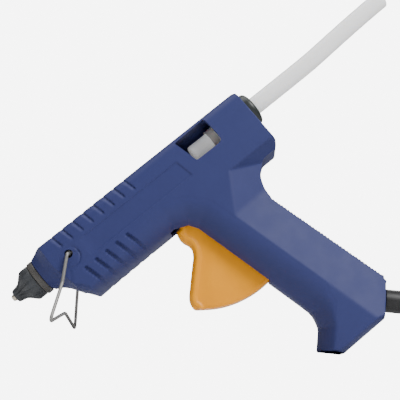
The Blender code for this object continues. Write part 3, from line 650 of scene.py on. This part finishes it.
@dataclass
class Housing(Assembly):
    """The two moulded halves, with their louvres, panel, window and screw holes."""

    half_width: float = 19.0
    top: float = 11.8
    edge: float = 3.0
    outline: Sequence[Pair] = (
        (-82.6, 11.0), (-79.0, 11.8), (71.8, 11.8), (75.0, 8.9), (75.0, -27.0), (72.6, -31.0),
        (62.5, -31.0), (57.5, -34.7), (54.0, -39.0), (51.8, -44.6), (51.1, -51.0), (71.2, -128.0),
        (70.3, -131.6), (54.9, -147.0), (24.2, -147.3), (13.9, -137.0), (23.1, -127.7), (25.1, -123.0),
        (25.4, -119.0), (24.6, -114.5), (5.6, -39.3), (2.4, -34.2), (-1.0, -31.9), (-5.0, -31.0),
        (-64.3, -31.0), (-69.9, -23.4), (-74.4, -16.9), (-78.2, -13.0), (-82.6, -11.0))
    flank: Sequence[tuple[float, float, float, float]] = (
        (-69.9, -23.4, 3.0, 2.0), (-64.3, -31.0, 4.0, 2.0), (-40.0, -31.0, 8.0, 2.0),
        (-20.0, -31.0, 12.5, 2.0), (-5.0, -31.0, 15.0, 2.0), (2.4, -34.2, 16.0, 2.0),
        (5.6, -39.3, 17.5, 2.0), (24.6, -114.5, 17.5, 2.0), (25.4, -119.0, 14.0, 1.8),
        (23.1, -127.7, 9.0, 1.4), (13.9, -137.0, 8.2, 1.3))
    soft_edges: Sequence[tuple[Pair, Pair, float]] = (
        ((13.9, -137.0), (24.2, -147.3), 2.5), ((24.2, -147.3), (54.9, -147.0), 6.5),
        ((54.9, -147.0), (70.3, -131.6), 3.0), ((70.3, -131.6), (71.2, -128.0), 4.0),
        ((71.2, -128.0), (51.1, -51.0), 5.0), ((75.0, 8.9), (75.0, -27.0), 1.3))
    nose_flare: Sequence[Pair] = (
        (-82.6, 11.3), (-80.0, 12.3), (-78.2, 13.2), (-76.0, 15.3), (-74.4, 17.2), (-72.0, 21.5),
        (-69.9, 26.5), (-66.0, 38.0))
    stand_hole: Pair = (-61.6, -4.3)
    boss: Pair = (-62.3, -6.4)
    screws: Sequence[Pair] = ((-56.0, -24.5), (-12.0, -24.5), (66.5, -23.5), (44.0, -60.0),
                              (31.0, -108.0), (32.5, -137.0))
    louvre_pitch: float = 7.66
    louvre_depth: float = 0.95
    slot_pitch: float = 7.55
    slot_depth: float = 1.4
    panel_depth: float = 0.55
    ring_radius: float = 6.2
    ring_depth: float = 0.55
    head_recess: float = 3.2
    shank_hole: float = 1.7
    louvre_lean: float = math.tan(math.radians(14.0))
    window: Sequence[Pair] = ((26.8, 8.3), (49.5, 9.2), (50.0, 0.0), (50.0, -7.0), (48.3, -8.7),
                              (30.6, -8.5))

    def rounded(self, away: Field, width: Field | float, power: Field | float) -> Field:
        """The half width over a rounded edge.

        Args:
            away: distance in from the edge.
            width: how wide the rounding is.
            power: 2 for a round that runs out smoothly, less for one that ends in a crease.

        Returns:
            The half width, well over the side's beyond the rounding.
        """
        share = np.clip(away / width, 0.0, 1.0)
        swell = (1.0 - (1.0 - share) ** power) ** (1.0 / power)
        return self.edge + (self.half_width - self.edge) * swell + np.maximum(away - width, 0.0) * 3.0

    def body_height(self, x: Field, z: Field) -> Field:
        """The plain half width before anything is let into it."""
        nearest = np.full(x.shape, 1e9)
        width, power = np.ones(x.shape), np.ones(x.shape)
        for first, last in zip(self.flank, self.flank[1:]):
            away, share = from_line(x, z, first[:2], last[:2])
            closer = away < nearest
            nearest = np.where(closer, away, nearest)
            width = np.where(closer, first[2] + (last[2] - first[2]) * share, width)
            power = np.where(closer, first[3] + (last[3] - first[3]) * share, power)
        high = self.rounded(nearest, width, power)
        for start, end, reach in self.soft_edges:
            high = smooth_min(high, self.rounded(from_line(x, z, start, end)[0], reach, 2.0) + 2.0, 1.0)
        depth = (x - 5.6) * 0.9696 + (z + 39.3) * 0.245
        rear = self.half_width - 0.404 * (depth - 18.0)
        neck = self.half_width - 0.50 * ((x - 41.2) * 0.849 - (z + 25.2) * 0.527)
        chamfer = self.half_width + 1.40 * (z + 25.3)
        facets = np.maximum(chamfer, -smooth_min(-rear, -neck, 0.8))
        high = smooth_min(high, facets, 0.8)
        drop = np.clip((z - (self.top - 8.0)) / 8.0, 0.0, 1.0)
        shoulder = self.half_width - 8.0 + 8.0 * np.sqrt(1.0 - drop * drop)
        high = np.minimum(high, np.where(drop > 0.0, shoulder, 60.0))
        flare = np.interp(x, *zip(*self.nose_flare))
        nose = np.sqrt(np.maximum(flare * flare - z * z, 0.5))
        high = smooth_min(high, np.where(x > -60.0, 60.0, nose), 0.9)
        return np.minimum(smooth_min(high, self.half_width, 0.5), self.half_width)

    def groove(self, x: Field, z: Field, head: Pair, foot: Pair, half: float, ramp: float) -> Field:
        """How deep a round-ended groove is, 0 to 1, with a slope on its front side.

        Args:
            x: where along the barrel.
            z: where across the barrel.
            head: the groove's upper end.
            foot: its lower end.
            half: its half width.
            ramp: how far its front slope reaches.

        Returns:
            The share of the full depth.
        """
        away = from_line(x, z, head, foot)[0]
        slope = (foot[0] - head[0]) / (foot[1] - head[1])
        ahead = (head[0] + (z - head[1]) * slope) - x
        reach = np.where(ahead > 0.0, ramp, 0.45)
        return 1.0 - smooth_step(0.0, 1.0, (away - half) / reach + 0.25)

    def upper_louvres(self) -> list[tuple[Pair, Pair]]:
        """The heads and feet of the eight short grooves that run over the shoulder."""
        heads = [-64.3 + self.louvre_pitch * i for i in range(8)]
        return [((x - 0.6, 14.0), (x + self.louvre_lean * 9.9, 2.4)) for x in heads]

    def lower_louvres(self) -> list[tuple[Pair, Pair]]:
        """The heads and feet of the five long grooves that run down the flank."""
        heads = [-58.5 + self.slot_pitch * i for i in range(5)]
        return [((x, -17.4), (x + 3.8, -31.6)) for x in heads]

    def height(self, x: Field, z: Field) -> Field:
        """The half width with the louvres, panel and boss let into it."""
        high = self.body_height(x, z)
        for head, foot in self.upper_louvres():
            high = high - self.louvre_depth * self.groove(x, z, head, foot, 0.35, 2.4)
        for head, foot in self.lower_louvres():
            high = high - self.slot_depth * self.groove(x, z, head, foot, 1.0, 0.6)
        panel = ((-54.5, -1.5), (20.4, -1.5), (22.9, -13.5), (-51.5, -13.5))
        share = 1.0 - smooth_step(-0.35, 0.35, in_outline(x, z, panel))
        high = high - self.panel_depth * share * smooth_step(-54.5, -46.0, x)
        out = np.hypot(x - self.boss[0], z - self.boss[1])
        turn = np.arctan2(z - self.boss[1], x - self.boss[0])
        arc = 0.25 + 0.75 * smooth_step(0.2, 1.0, np.cos(turn + 0.7) * 0.5 + 0.5)
        high = high - self.ring_depth * arc * (1.0 - smooth_step(0.10, 0.75,
                                                                 np.abs(out - self.ring_radius)))
        notch = from_line(x, z, (-59.4, -4.7), (-56.6, -6.3))[0]
        high = high - 0.5 * (1.0 - smooth_step(0.1, 0.7, notch))
        crease = from_line(x, z, (-66.5, -12.5), (-71.5, -20.5))[0]
        high = high - 0.25 * (1.0 - smooth_step(0.0, 1.6, crease))
        return np.maximum(high, 2.2)

    def trimmed(self, x: Field, z: Field) -> Field:
        """The little notches that the upper louvres leave in the top edge."""
        cut = np.zeros_like(x)
        for head, foot in self.upper_louvres():
            cut = np.maximum(cut, self.groove(x, z, head, foot, 0.3, 1.9))
        return 0.8 * cut * (z > 6.0)

    def hollow(self) -> list[bpy.types.Object]:
        """The spaces inside: the barrel's, the handle's, and the trigger's slot."""
        section = ((-8.6, 9.3), (8.6, 9.3), (14.2, 7.0), (16.4, 2.0), (16.4, -17.0), (13.4, -23.5),
                   (9.0, -28.4), (-9.0, -28.4), (-13.4, -23.5), (-16.4, -17.0), (-16.4, 2.0), (-14.2, 7.0))
        barrel = prism(section, -66.0, 72.4, "x")
        nose = lathe(((-90.0, 8.7), (-75.0, 8.7), (-74.0, 10.0), (-65.9, 14.0)), segments=48)
        handle = prism(((-3.0, -27.0), (4.8, -34.8), (8.6, -40.0), (27.2, -114.0), (28.0, -119.0),
                        (27.0, -124.5), (18.2, -137.3), (25.3, -144.4), (54.0, -144.4), (67.6, -130.8),
                        (68.4, -128.0), (48.6, -51.0), (49.4, -43.6), (52.4, -36.6), (58.0, -31.6),
                        (60.0, -27.0)), -8.4, 8.4)
        room = prism(((12.0, -27.0), (12.0, -44.0), (36.0, -132.0), (52.0, -132.0), (33.0, -52.0),
                      (38.0, -27.0)),
                     -11.9, 11.9)
        slot = prism(((-8.0, -26.0), (12.0, -26.0), (14.0, -50.0), (24.4, -88.4), (19.0, -89.1),
                      (10.0, -89.4), (2.0, -88.3), (-8.0, -50.0)), -8.0, 8.0)
        rear = lathe(((68.0, 8.2), (80.0, 8.2)), segments=64)
        return [barrel, nose, handle, room, slot, rear]

    def openings(self, side: Side) -> list[bpy.types.Object]:
        """The cutters of this half's holes, each reaching through its wall."""
        low, high = sorted((side.value * 6.0, side.value * 40.0))
        holes = [rod(self.stand_hole, 2.5, low, high), rod((13.3, -32.7), 2.2, -12.3, 12.3)]
        base, heading = boot_axis()
        holes.append(lathe(((-9.0, 5.0), (12.0, 5.0)), base, heading))
        if side is Side.LEFT:
            holes.append(prism(round_corners(self.window, 1.2), -40.0, -8.0))
        else:
            holes += [rod(centre, self.head_recess, 9.5, 40.0) for centre in self.screws]
            holes += [rod(centre, self.shank_hole, -3.0, 12.0) for centre in self.screws]
        return holes

    def build(self) -> None:
        """Makes both halves."""
        outline = round_corners(self.outline, 1.8)
        for side, name, node in ((Side.LEFT, "left_half", "left_shell"), (Side.RIGHT, "right_half",
                                                                          "right_shell")):
            relief = Relief(outline, self.height, trim=self.trimmed)
            half = relief.build(side)
            for cutter in (*self.hollow(), *self.openings(side)):
                half = combine(half, cutter, solver="MANIFOLD")
            self.keep(half, name, HOUSING_BLUE, (node,), sharp=32.0)


def boot_axis() -> tuple[Triple, Triple]:
    """Where the boot leaves the handle's corner face, and its level heading."""
    reach, rise = 142.8, 33.3 - AXIS_HEIGHT
    return (COS * reach + SIN * rise, 0.0, -SIN * reach + COS * rise), (COS, 0.0, -SIN)


@dataclass
class Screws(Assembly):
    """The six housing screws, seen from the right-hand side."""

    places: Sequence[Pair] = Housing.screws

    def build(self) -> None:
        """Makes each screw with its cross recess."""
        profile = ((-9.0, 0.9), (-8.0, 1.4), (9.8, 1.4), (9.8, 2.8), (10.6, 2.8), (11.3, 2.4),
                   (11.75, 1.6), (11.9, 0.6))
        for number, (x, z) in enumerate(self.places, 1):
            screw = lathe(profile, (x, 0.0, z), (0.0, 1.0, 0.0), 32)
            for turn in (0.35 + number, 0.35 + number + math.pi / 2):
                bar = prism(((-1.5, -0.27), (1.5, -0.27), (1.5, 0.27), (-1.5, 0.27)), 10.7, 14.0, "y")
                bar.data.transform(Matrix.Translation((x, 0.0, z)) @ Matrix.Rotation(turn, 4, "Y"))
                screw = combine(screw, bar)
            self.keep(screw, f"screw_{number}", ZINC, (f"housing_screw_{number}",))


@dataclass
class Nose(Assembly):
    """The nozzle in its fluted heat sleeve, and the ring behind it."""

    flutes: int = 11

    def flute(self, far: float, angle: float) -> float:
        """The sleeve's radius factor: flat-bottomed flutes that fade at both ends."""
        fade = min(1.0, max(0.0, (far + 102.4) / 3.0)) * min(1.0, max(0.0, (-90.2 - far) / 2.6))
        wave = 0.5 + 0.5 * math.cos(self.flutes * angle + 0.6)
        return 1.0 + 0.015 * fade - 0.17 * fade * wave ** 2.2

    def build(self) -> None:
        """Makes the nozzle, sleeve and ring."""
        bore = ((-103.0, 3.5), (-102.5, 3.95), (-101.8, 4.25), (-100.4, 4.5), (-98.8, 4.9), (-97.9, 5.3),
                (-97.0, 6.0), (-96.0, 6.9), (-95.0, 8.0), (-94.0, 9.0), (-93.2, 9.8), (-92.4, 10.2),
                (-91.6, 10.35), (-87.4, 10.35), (-86.9, 10.1), (-86.9, 6.3), (-91.8, 6.3), (-97.0, 4.15),
                (-103.0, 2.65))
        sleeve = lathe(bore, ring=True, segments=132, swell=self.flute)
        self.keep(sleeve, "heat_sleeve", SLEEVE_SLATE, ("nozzle_sleeve",), sharp=48.0)
        tip = ((-105.2, 0.75), (-105.2, 1.35), (-105.0, 1.6), (-104.4, 1.95), (-103.7, 2.15),
               (-103.0, 2.25), (-97.2, 3.8), (-92.0, 6.0), (-86.7, 6.0), (-86.7, 4.5), (-76.4, 4.5),
               (-76.4, 2.2), (-98.0, 2.0), (-101.0, 0.9))
        self.keep(lathe(tip, ring=True), "nozzle_tip", BRASS, ("nozzle",))
        band = ((-86.6, 10.5), (-86.45, 10.8), (-86.1, 10.95), (-85.2, 11.0), (-83.6, 11.0),
                (-83.2, 10.9), (-82.9, 10.6), (-82.9, 6.9), (-86.6, 6.9))
        self.keep(lathe(band, ring=True, segments=96), "front_band", RING_GREY, ("front_ring",))


@dataclass
class Stick(Assembly):
    """The glue stick in use, gently bent where it leaves the gun."""

    body: str = "stick"
    radius: float = 5.6
    front: float = 32.5
    back: float = 188.0
    bend_start: float = 128.0
    bend_length: float = 60.0
    rise: float = 3.2
    softness: float = 0.02

    def middle(self, x: float) -> float:
        """How far the stick's middle has bent up at this x."""
        share = (x - self.bend_start) / self.bend_length
        share = 0.5 * (share + math.sqrt(share * share + self.softness)) - 0.0025
        return self.rise * (1.6 * share - 0.6 * share * share)

    def build(self) -> None:
        """Makes the stick as a skin over its stations, with softly rounded ends."""
        ends = [(0.0, 0.40), (0.05, 0.80), (0.35, 0.93), (0.9, 1.0)]
        stations = [(self.front + far, share) for far, share in ends]
        stations += [(34.5 + 3.0 * step, 1.0 + 0.006 * math.sin(step * 1.9)) for step in range(51)]
        stations += [(self.back - far, share) for far, share in reversed(ends)]
        verts, faces, around = [], [], 48
        for x, share in stations:
            for step in range(around):
                angle = 2.0 * math.pi * step / around
                seam = 1.0 + 0.012 * math.exp(-((step % 24) - 12.0) ** 2 / 0.8)
                reach = self.radius * share * seam
                verts.append((x, reach * math.cos(angle), self.middle(x) + reach * math.sin(angle)))
        for row in range(len(stations) - 1):
            for step in range(around):
                here, there = row * around + step, row * around + (step + 1) % around
                faces.append((here, there, there + around, here + around))
        faces += [range(around), range(len(verts) - around, len(verts))]
        self.keep(new_object("stick", verts, faces), "stick_of_glue", GLUE_WITH_PAINTED_GLOW, ("glue_stick",), sharp=60.0)


@dataclass
class RearCollar(Assembly):
    """The ring that guides the stick into the gun."""

    def build(self) -> None:
        """Makes the collar with its rolled rim."""
        profile = ((72.9, 6.5), (69.5, 6.5), (69.5, 8.0), (75.3, 8.0), (75.3, 10.5), (75.6, 10.85),
                   (78.0, 10.9), (79.2, 10.6), (80.0, 9.9), (80.45, 9.0), (80.6, 8.2), (80.45, 7.5),
                   (80.0, 6.9), (79.2, 6.5))
        self.keep(lathe(profile, ring=True, segments=96), "stick_collar", COLLAR_GREY, ("rear_collar",))


@dataclass
class Trigger(Assembly):
    """The finger lever: a smooth cheek with a raised bead along its front edge."""

    body: str = "trigger"
    pivot: Pair = (13.3, -32.7)
    sweep: float = 55.9
    half: float = 7.5
    arm: float = 19.0
    hub: float = 4.2
    arm_end: float = 3.0
    front: Sequence[Pair] = ((-2.5, -31.0), (-4.9, -31.6), (-5.8, -33.4), (-6.1, -36.0), (-5.6, -38.8),
                             (-4.4, -41.4), (-4.1, -43.8), (-4.9, -46.8), (-6.9, -49.9), (-10.6, -53.5),
                             (-22.7, -65.6), (-24.6, -68.1), (-25.6, -71.0), (-25.7, -73.0),
                             (-24.9, -74.2))

    def lower_edge(self) -> list[Pair]:
        """The round edge about the pivot, from the tip to the handle."""
        angles = [math.radians(227.5 + 50.0 * step / 24) for step in range(1, 25)]
        return [(self.pivot[0] + self.sweep * math.cos(a),
                 self.pivot[1] + self.sweep * math.sin(a)) for a in angles]

    def height(self, x: Field, z: Field) -> Field:
        """The half thickness: edge face, bead, groove and cheek, fading towards the housing."""
        away = np.full(x.shape, 1e9)
        for start, end in zip(self.front, self.front[1:]):
            away = np.minimum(away, from_line(x, z, start, end)[0])
        edge = 4.3 + 2.9 * smooth_step(0.0, 2.4, away) ** 0.6
        bead = 0.55 * np.exp(-((away - 3.2) / 0.85) ** 2)
        cheek = -0.55 * smooth_step(4.0, 5.2, away) + 0.55 * smooth_step(5.0, 13.0, away)
        slope = (z + 31.0) * 0.30 + (x - 5.6) * -0.95
        inward = 1.3 * (1.0 - smooth_step(-13.0, 4.0, slope))
        skirt = np.abs(np.hypot(x - self.pivot[0], z - self.pivot[1]) - self.sweep)
        hem = 0.45 * (1.0 - smooth_step(0.2, 1.4, skirt)) * (away > 5.0)
        return np.clip(edge + bead + cheek - inward - hem, 2.0, self.half)

    def build(self) -> None:
        """Makes the blade, and the hub and arm that drive the feed."""
        outline = [*self.front, *self.lower_edge(), (18.5, -70.0), (15.5, -52.0), (18.0, -37.0),
                   (16.5, -31.5)]
        blade = Relief(round_corners(outline, 0.8, 3), self.height, pitch=0.5).build(None)
        blade = combine(blade, rod(self.pivot, 2.2, -12.0, 12.0), solver="MANIFOLD")
        self.keep(blade, "trigger_blade", TRIGGER_ORANGE, ("trigger",), sharp=40.0)
        tip = (self.pivot[0] + self.arm * 0.5, self.pivot[1] + self.arm * 0.8660254)
        outline = [(self.pivot[0] + self.hub * math.cos(a), self.pivot[1] + self.hub * math.sin(a))
                   for a in np.radians(np.linspace(150.0, 330.0, 13))]
        outline += [(tip[0] + self.arm_end * math.cos(a), tip[1] + self.arm_end * math.sin(a))
                    for a in np.radians(np.linspace(-30.0, 150.0, 13))]
        arm = combine(prism(outline, -2.7, 2.7), rod(self.pivot, 2.2, -12.0, 12.0))
        arm = combine(arm, rod(tip, 1.5, -12.0, 12.0))
        self.keep(arm, "trigger_arm", TRIGGER_ORANGE)


@dataclass
class Stand(Assembly):
    """The bent wire that holds the nose off the bench."""

    body: str = "stand"
    pivot: Pair = (-61.6, -4.3)
    wire: float = 1.0

    def point(self, back: float, side: float, up: float) -> Triple:
        """A place given from the pivot in the standing pose, in the gun's frame."""
        return (self.pivot[0] + COS * back + SIN * up, side, self.pivot[1] - SIN * back + COS * up)

    def build(self) -> None:
        """Makes the wire: from the housing at both ends, out to the feet, and up to a notch between."""
        foot = self.wire - (SIN * self.pivot[0] + COS * self.pivot[1] + AXIS_HEIGHT)
        half = [(0.0, 12.4, 0.0), (0.0, 16.5, 0.0), (0.0, 19.8, 0.0), (-0.05, 21.1, -0.45), (-0.1, 21.6,
                                                                                             -1.7),
                (-0.3, 21.7, -8.0), (-0.5, 21.8, -15.0), (-0.6, 22.2, -17.8), (-1.0, 27.0, foot + 12.6),
                (-1.4, 31.7, foot + 4.0), (-1.5, 32.6, foot + 1.5), (-1.5, 32.4, foot + 0.35), (-1.5, 31.3,
                                                                                                foot),
                (-1.5, 29.3, foot + 0.3), (-1.5, 16.0, foot + 3.3), (-1.5, 4.0, foot + 5.9),
                (-1.5, 1.6, foot + 6.35)]
        legs = [self.point(back, -side, up) for back, side, up in half]
        legs += [self.point(-1.5, 0.0, foot + 6.45)]
        legs += [self.point(back, side, up) for back, side, up in reversed(half)]
        self.keep(tube("wire", [GUN @ point for point in curve_through(legs, 0.9)], self.wire * MM, 7),
                  "stand_bail", BAIL_STEEL, ("stand_wire",), turn=Matrix.Identity(4))


@dataclass
class MainsLead(Assembly):
    """The boot, the free lead in its neat coil, and the two-pin plug."""

    radius: float = 0.0031
    turn_radius: float = 0.0396
    turns_across: int = 2
    layers: int = 4
    middle: Pair = (0.1635, 0.036)
    plug_line: float = -0.021
    plug_high: float = 0.0065
    bend: float = 0.025

    def boot(self) -> None:
        """Makes the strain relief: a plain sleeve, then a tapered stretch cut into rings."""
        base, heading = boot_axis()
        profile = [(-8.0, 3.4), (-8.0, 6.6), (-3.4, 6.6), (-3.4, 4.6), (0.6, 4.6), (0.6, 6.2), (1.0, 6.7),
                   (13.0, 6.7), (13.6, 6.4)]
        for ring in range(6):
            far, wide = 14.2 + 2.9 * ring, 6.35 - 0.27 * ring
            profile += [(far, wide - 1.2), (far + 0.9, wide - 1.2), (far + 1.1, wide - 0.15),
                        (far + 1.4, wide), (far + 2.5, wide - 0.2), (far + 2.7, wide - 0.4)]
        profile += [(32.0, 4.3), (32.0, 3.4)]
        self.keep(lathe(profile, base, heading, 64, ring=True), "strain_relief", LEAD_BLACK, ("cord_boot",))

    def coil_point(self, turns: float) -> Triple:
        """A place in the coil, this many turns in from where the lead joins it."""
        step = 2.0 * self.radius + 0.0001
        layer = min(int(turns // self.turns_across), self.layers - 1)
        along = turns - layer * self.turns_across
        inward = along if layer % 2 == 0 else self.turns_across - along
        reach = self.turn_radius - step * inward
        high = self.radius + 2.0 * self.radius * (self.layers - 1 - layer)
        if layer < self.layers - 1:
            ease = min(1.0, max(0.0, (along - self.turns_across + 0.45) / 0.45))
            high -= 2.0 * self.radius * ease * ease * (3.0 - 2.0 * ease)
        angle = 2.0 * math.pi * turns - math.pi / 2
        return (self.middle[0] + reach * math.cos(angle), self.middle[1] + reach * math.sin(angle), high)

    def route(self) -> tuple[Vector, list[Vector]]:
        """The lead's way: out of the boot, down onto the coil, round it, and along the floor to the plug.

        Returns:
            Where it leaves the boot, and the points that it follows.
        """
        base, heading = boot_axis()
        exit_point = GUN @ (Vector(base) + Vector(heading) * 31.9)
        landing = Vector(self.coil_point(0.0))
        fall = [exit_point, exit_point + Vector((0.008, 0.0, 0.0)), exit_point + Vector((0.017, -0.0003,
                                                                                         -0.0018)),
                exit_point + Vector((0.029, -0.0010, -0.0078)), landing + Vector((-0.004, 0.0001, 0.0002))]
        last = self.layers * self.turns_across - 0.25
        steps = round(last * 32)
        coil = [Vector(self.coil_point(last * step / steps)) for step in range(1, steps + 1)]
        tail = [coil[-1]]
        for degrees in range(0, 91, 10):
            turn = math.radians(degrees)
            rise = (self.plug_high - self.radius) * degrees / 90.0 * degrees / 90.0
            tail.append(Vector((coil[-1].x + self.bend * (1.0 - math.cos(turn)),
                                self.plug_line + self.bend * (1.0 - math.sin(turn)), self.radius + rise)))
        return exit_point, [*curve_through(fall, 0.0028)[:-1], *coil, *curve_through(tail, 0.0028)[1:]]

    def plug(self) -> list[bpy.types.Object]:
        """Makes the plug's body with its grip ridges, and the two pins.

        Returns:
            The pieces that lie with the lead.
        """
        reach = self.middle[0] - self.turn_radius + self.bend
        neck = (reach * 1000.0, self.plug_line * 1000.0, self.plug_high * 1000.0)
        half = ((0.1, 3.9), (2.0, 4.9), (8.0, 5.4), (13.0, 9.0), (16.0, 12.6), (33.0, 12.6), (36.0, 11.6))
        outline = round_corners([*half, *[(x, -y) for x, y in reversed(half)]], 1.6)
        body = prism(outline, -6.5, 6.5, "z")
        for ridge in range(5):
            for side in (-1.0, 1.0):
                x = 18.5 + 2.9 * ridge
                notch = prism(((x - 0.55, side * 12.9), (x, side * 11.9), (x + 0.55, side * 12.9)), -7.0,
                              7.0, "z")
                body = combine(body, notch)
        body.data.transform(Matrix.Translation(neck))
        bevel = body.modifiers.new("soften", "BEVEL")
        bevel.width, bevel.segments = 0.8, 3
        bevel.limit_method, bevel.angle_limit = "ANGLE", math.radians(40.0)
        graph = bpy.context.evaluated_depsgraph_get()
        body.data = bpy.data.meshes.new_from_object(body.evaluated_get(graph))
        body.modifiers.clear()
        made = [self.keep(body, "plug_shell", LEAD_BLACK, ("plug_body",), turn=STANDING)]
        for number, side in enumerate((-9.5, 9.5), 1):
            base = (neck[0] + 36.1, neck[1] + side, neck[2])
            sheath = lathe(((0.0, 1.95), (9.8, 1.95), (10.0, 1.9)), base, (1.0, 0.0, 0.0), 32)
            made.append(self.keep(sheath, f"pin_sheath_{number}", LEAD_BLACK, turn=STANDING))
            profile = ((10.1, 2.0), (17.6, 2.0), (18.4, 1.8), (18.9, 1.4), (19.1, 0.7))
            pin = lathe(profile, base, (1.0, 0.0, 0.0), 32)
            made.append(self.keep(pin, f"plug_pin_tip_{number}", BRASS, (f"plug_pin_{number}",),
                                  turn=STANDING))
        return made

    def build(self) -> None:
        self.boot()
        exit_point, points = self.route()
        pieces = self.plug()
        lead = tube("lead", points, self.radius, 4)
        self.keep(lead, "mains_lead", LEAD_BLACK, ("mains_cord", "cord_coil", "plug_tail"),
                  turn=Matrix.Identity(4))
        long = length_of(points)
        LOG.info("the lead is %.3f m", long)


@dataclass
class Works(Assembly):
    """The pieces inside, seen through the window and the trigger's slot, which keep their CAD shapes."""

    def build(self) -> None:
        """Dresses each carried-over piece."""
        self.dress(ALUMINIUM, "melting_chamber")
        self.dress(CERAMIC, "heater_plate", "front_insulator")
        self.dress(MICA, "rear_insulator")
        self.dress(SILICONE, "inlet_sleeve")
        self.dress(NYLON, "feed_carriage", "cord_clamp", "terminal_block")
        self.dress(ZINC, "heater_clip", "inlet_clip", "feed_claw", "claw_pin", "link_pin_rear",
                   "link_pin_front",
                   "drive_link_left", "drive_link_right", "trigger_pin", "trigger_spring", "clamp_screw_1",
                   "clamp_screw_2")
        self.dress(LEAD_BLACK, "inner_cord")
        self.dress(LEAD_BROWN, "lead_live")
        self.dress(LEAD_BLUE, "lead_neutral")


# ---------------------------------------------------------------- studio
@dataclass
class Studio:
    """The pale floor, the soft lights and the camera."""

    camera_at: Triple = (0.01808, -0.48864, -0.01982)
    right: Triple = (0.99316, 0.05408, 0.10347)
    up: Triple = (-0.08987, -0.21163, 0.97321)
    lens: float = 74.7
    backdrop: float = 7.0
    ambient: float = 0.16

    def camera(self) -> None:
        """Places the camera."""
        data = bpy.data.cameras.new("camera")
        data.lens, data.sensor_width, data.clip_start = self.lens, 36.0, 0.01
        made = bpy.data.objects.new("camera", data)
        bpy.context.scene.collection.objects.link(made)
        right, up = Vector(self.right).normalized(), Vector(self.up).normalized()
        back = right.cross(up)
        turn = Matrix((right, up, back)).transposed().to_4x4()
        made.matrix_world = Matrix.Translation(self.camera_at) @ turn
        bpy.context.scene.camera = made

    def light(self, name: str, at: Triple, aim: Triple, size: float, power: float) -> None:
        """Places one square soft light."""
        data = bpy.data.lights.new(name, "AREA")
        data.size, data.energy = size, power
        made = bpy.data.objects.new(name, data)
        bpy.context.scene.collection.objects.link(made)
        made.location = at
        made.rotation_euler = (Vector(aim) - Vector(at)).to_track_quat("-Z", "Y").to_euler()

    def lights(self) -> None:
        """Places the lights and the even surroundings."""
        self.light("key", (0.60, -0.80, 1.05), (0.0, 0.0, 0.1), 0.55, 20.5)
        self.light("top", (-0.30, -0.10, 1.05), (0.0, 0.0, 0.1), 0.8, 7.0)
        self.light("back", (0.35, 1.00, 0.75), (0.0, 0.0, 0.1), 0.7, 5.0)
        world = bpy.data.worlds.new("studio")
        bpy.context.scene.world = world
        world.use_nodes = True
        tree = world.node_tree
        tree.nodes["Background"].inputs["Color"].default_value = (1.0, 1.0, 1.0, 1.0)
        path = tree.nodes.new("ShaderNodeLightPath")
        scale = tree.nodes.new("ShaderNodeMapRange")
        scale.inputs["To Min"].default_value = self.ambient
        scale.inputs["To Max"].default_value = self.backdrop
        tree.links.new(path.outputs["Is Camera Ray"], scale.inputs["Value"])
        tree.links.new(scale.outputs[0], tree.nodes["Background"].inputs["Strength"])

    def floor(self) -> None:
        """Lays the floor, which is clear from underneath."""
        steps = np.linspace(-2.0, 2.0, 9)
        verts = [(x, y, 0.0) for x in steps for y in steps]
        faces = [(9 * i + j, 9 * i + j + 9, 9 * i + j + 10,
                  9 * i + j + 1) for i in range(8) for j in range(8)]
        mesh = bpy.data.meshes.new("floor")
        mesh.from_pydata(verts, [], faces)
        made = bpy.data.objects.new("floor", mesh)
        bpy.context.scene.collection.objects.link(made)
        graph = Graph("pale_floor")
        graph.feed("Base Color", graph.mix(graph.noise(0.25), (0.80, 0.80, 0.80, 1.0), (0.84, 0.84, 0.84,
                                                                                        1.0)))
        graph.feed("Roughness", 0.85)
        clear = graph.node("ShaderNodeBsdfTransparent")
        below = graph.node("ShaderNodeNewGeometry").outputs["Backfacing"]
        mixed = graph.node("ShaderNodeMixShader", {}, {0: below, 1: graph.shader.outputs[0],
                                                       2: clear.outputs[0]})
        output = graph.tree.nodes["Material Output"]
        graph.tree.links.new(mixed.outputs[0], output.inputs["Surface"])
        mesh.materials.append(graph.material)

    def build(self) -> None:
        """Sets the whole studio."""
        self.camera()
        self.lights()
        self.floor()


def main() -> None:
    """Builds every assembly in order."""
    logging.basicConfig(level=logging.INFO, format="%(message)s")
    assemblies = (Studio(), MainsLead(), Housing(), Screws(), Nose(), Stick(), RearCollar(), Trigger(),
                  Stand(),
                  Works())
    for assembly in assemblies:
        assembly.build()
        LOG.info("finished %s", type(assembly).__name__)


if __name__ == "__main__":
    main()
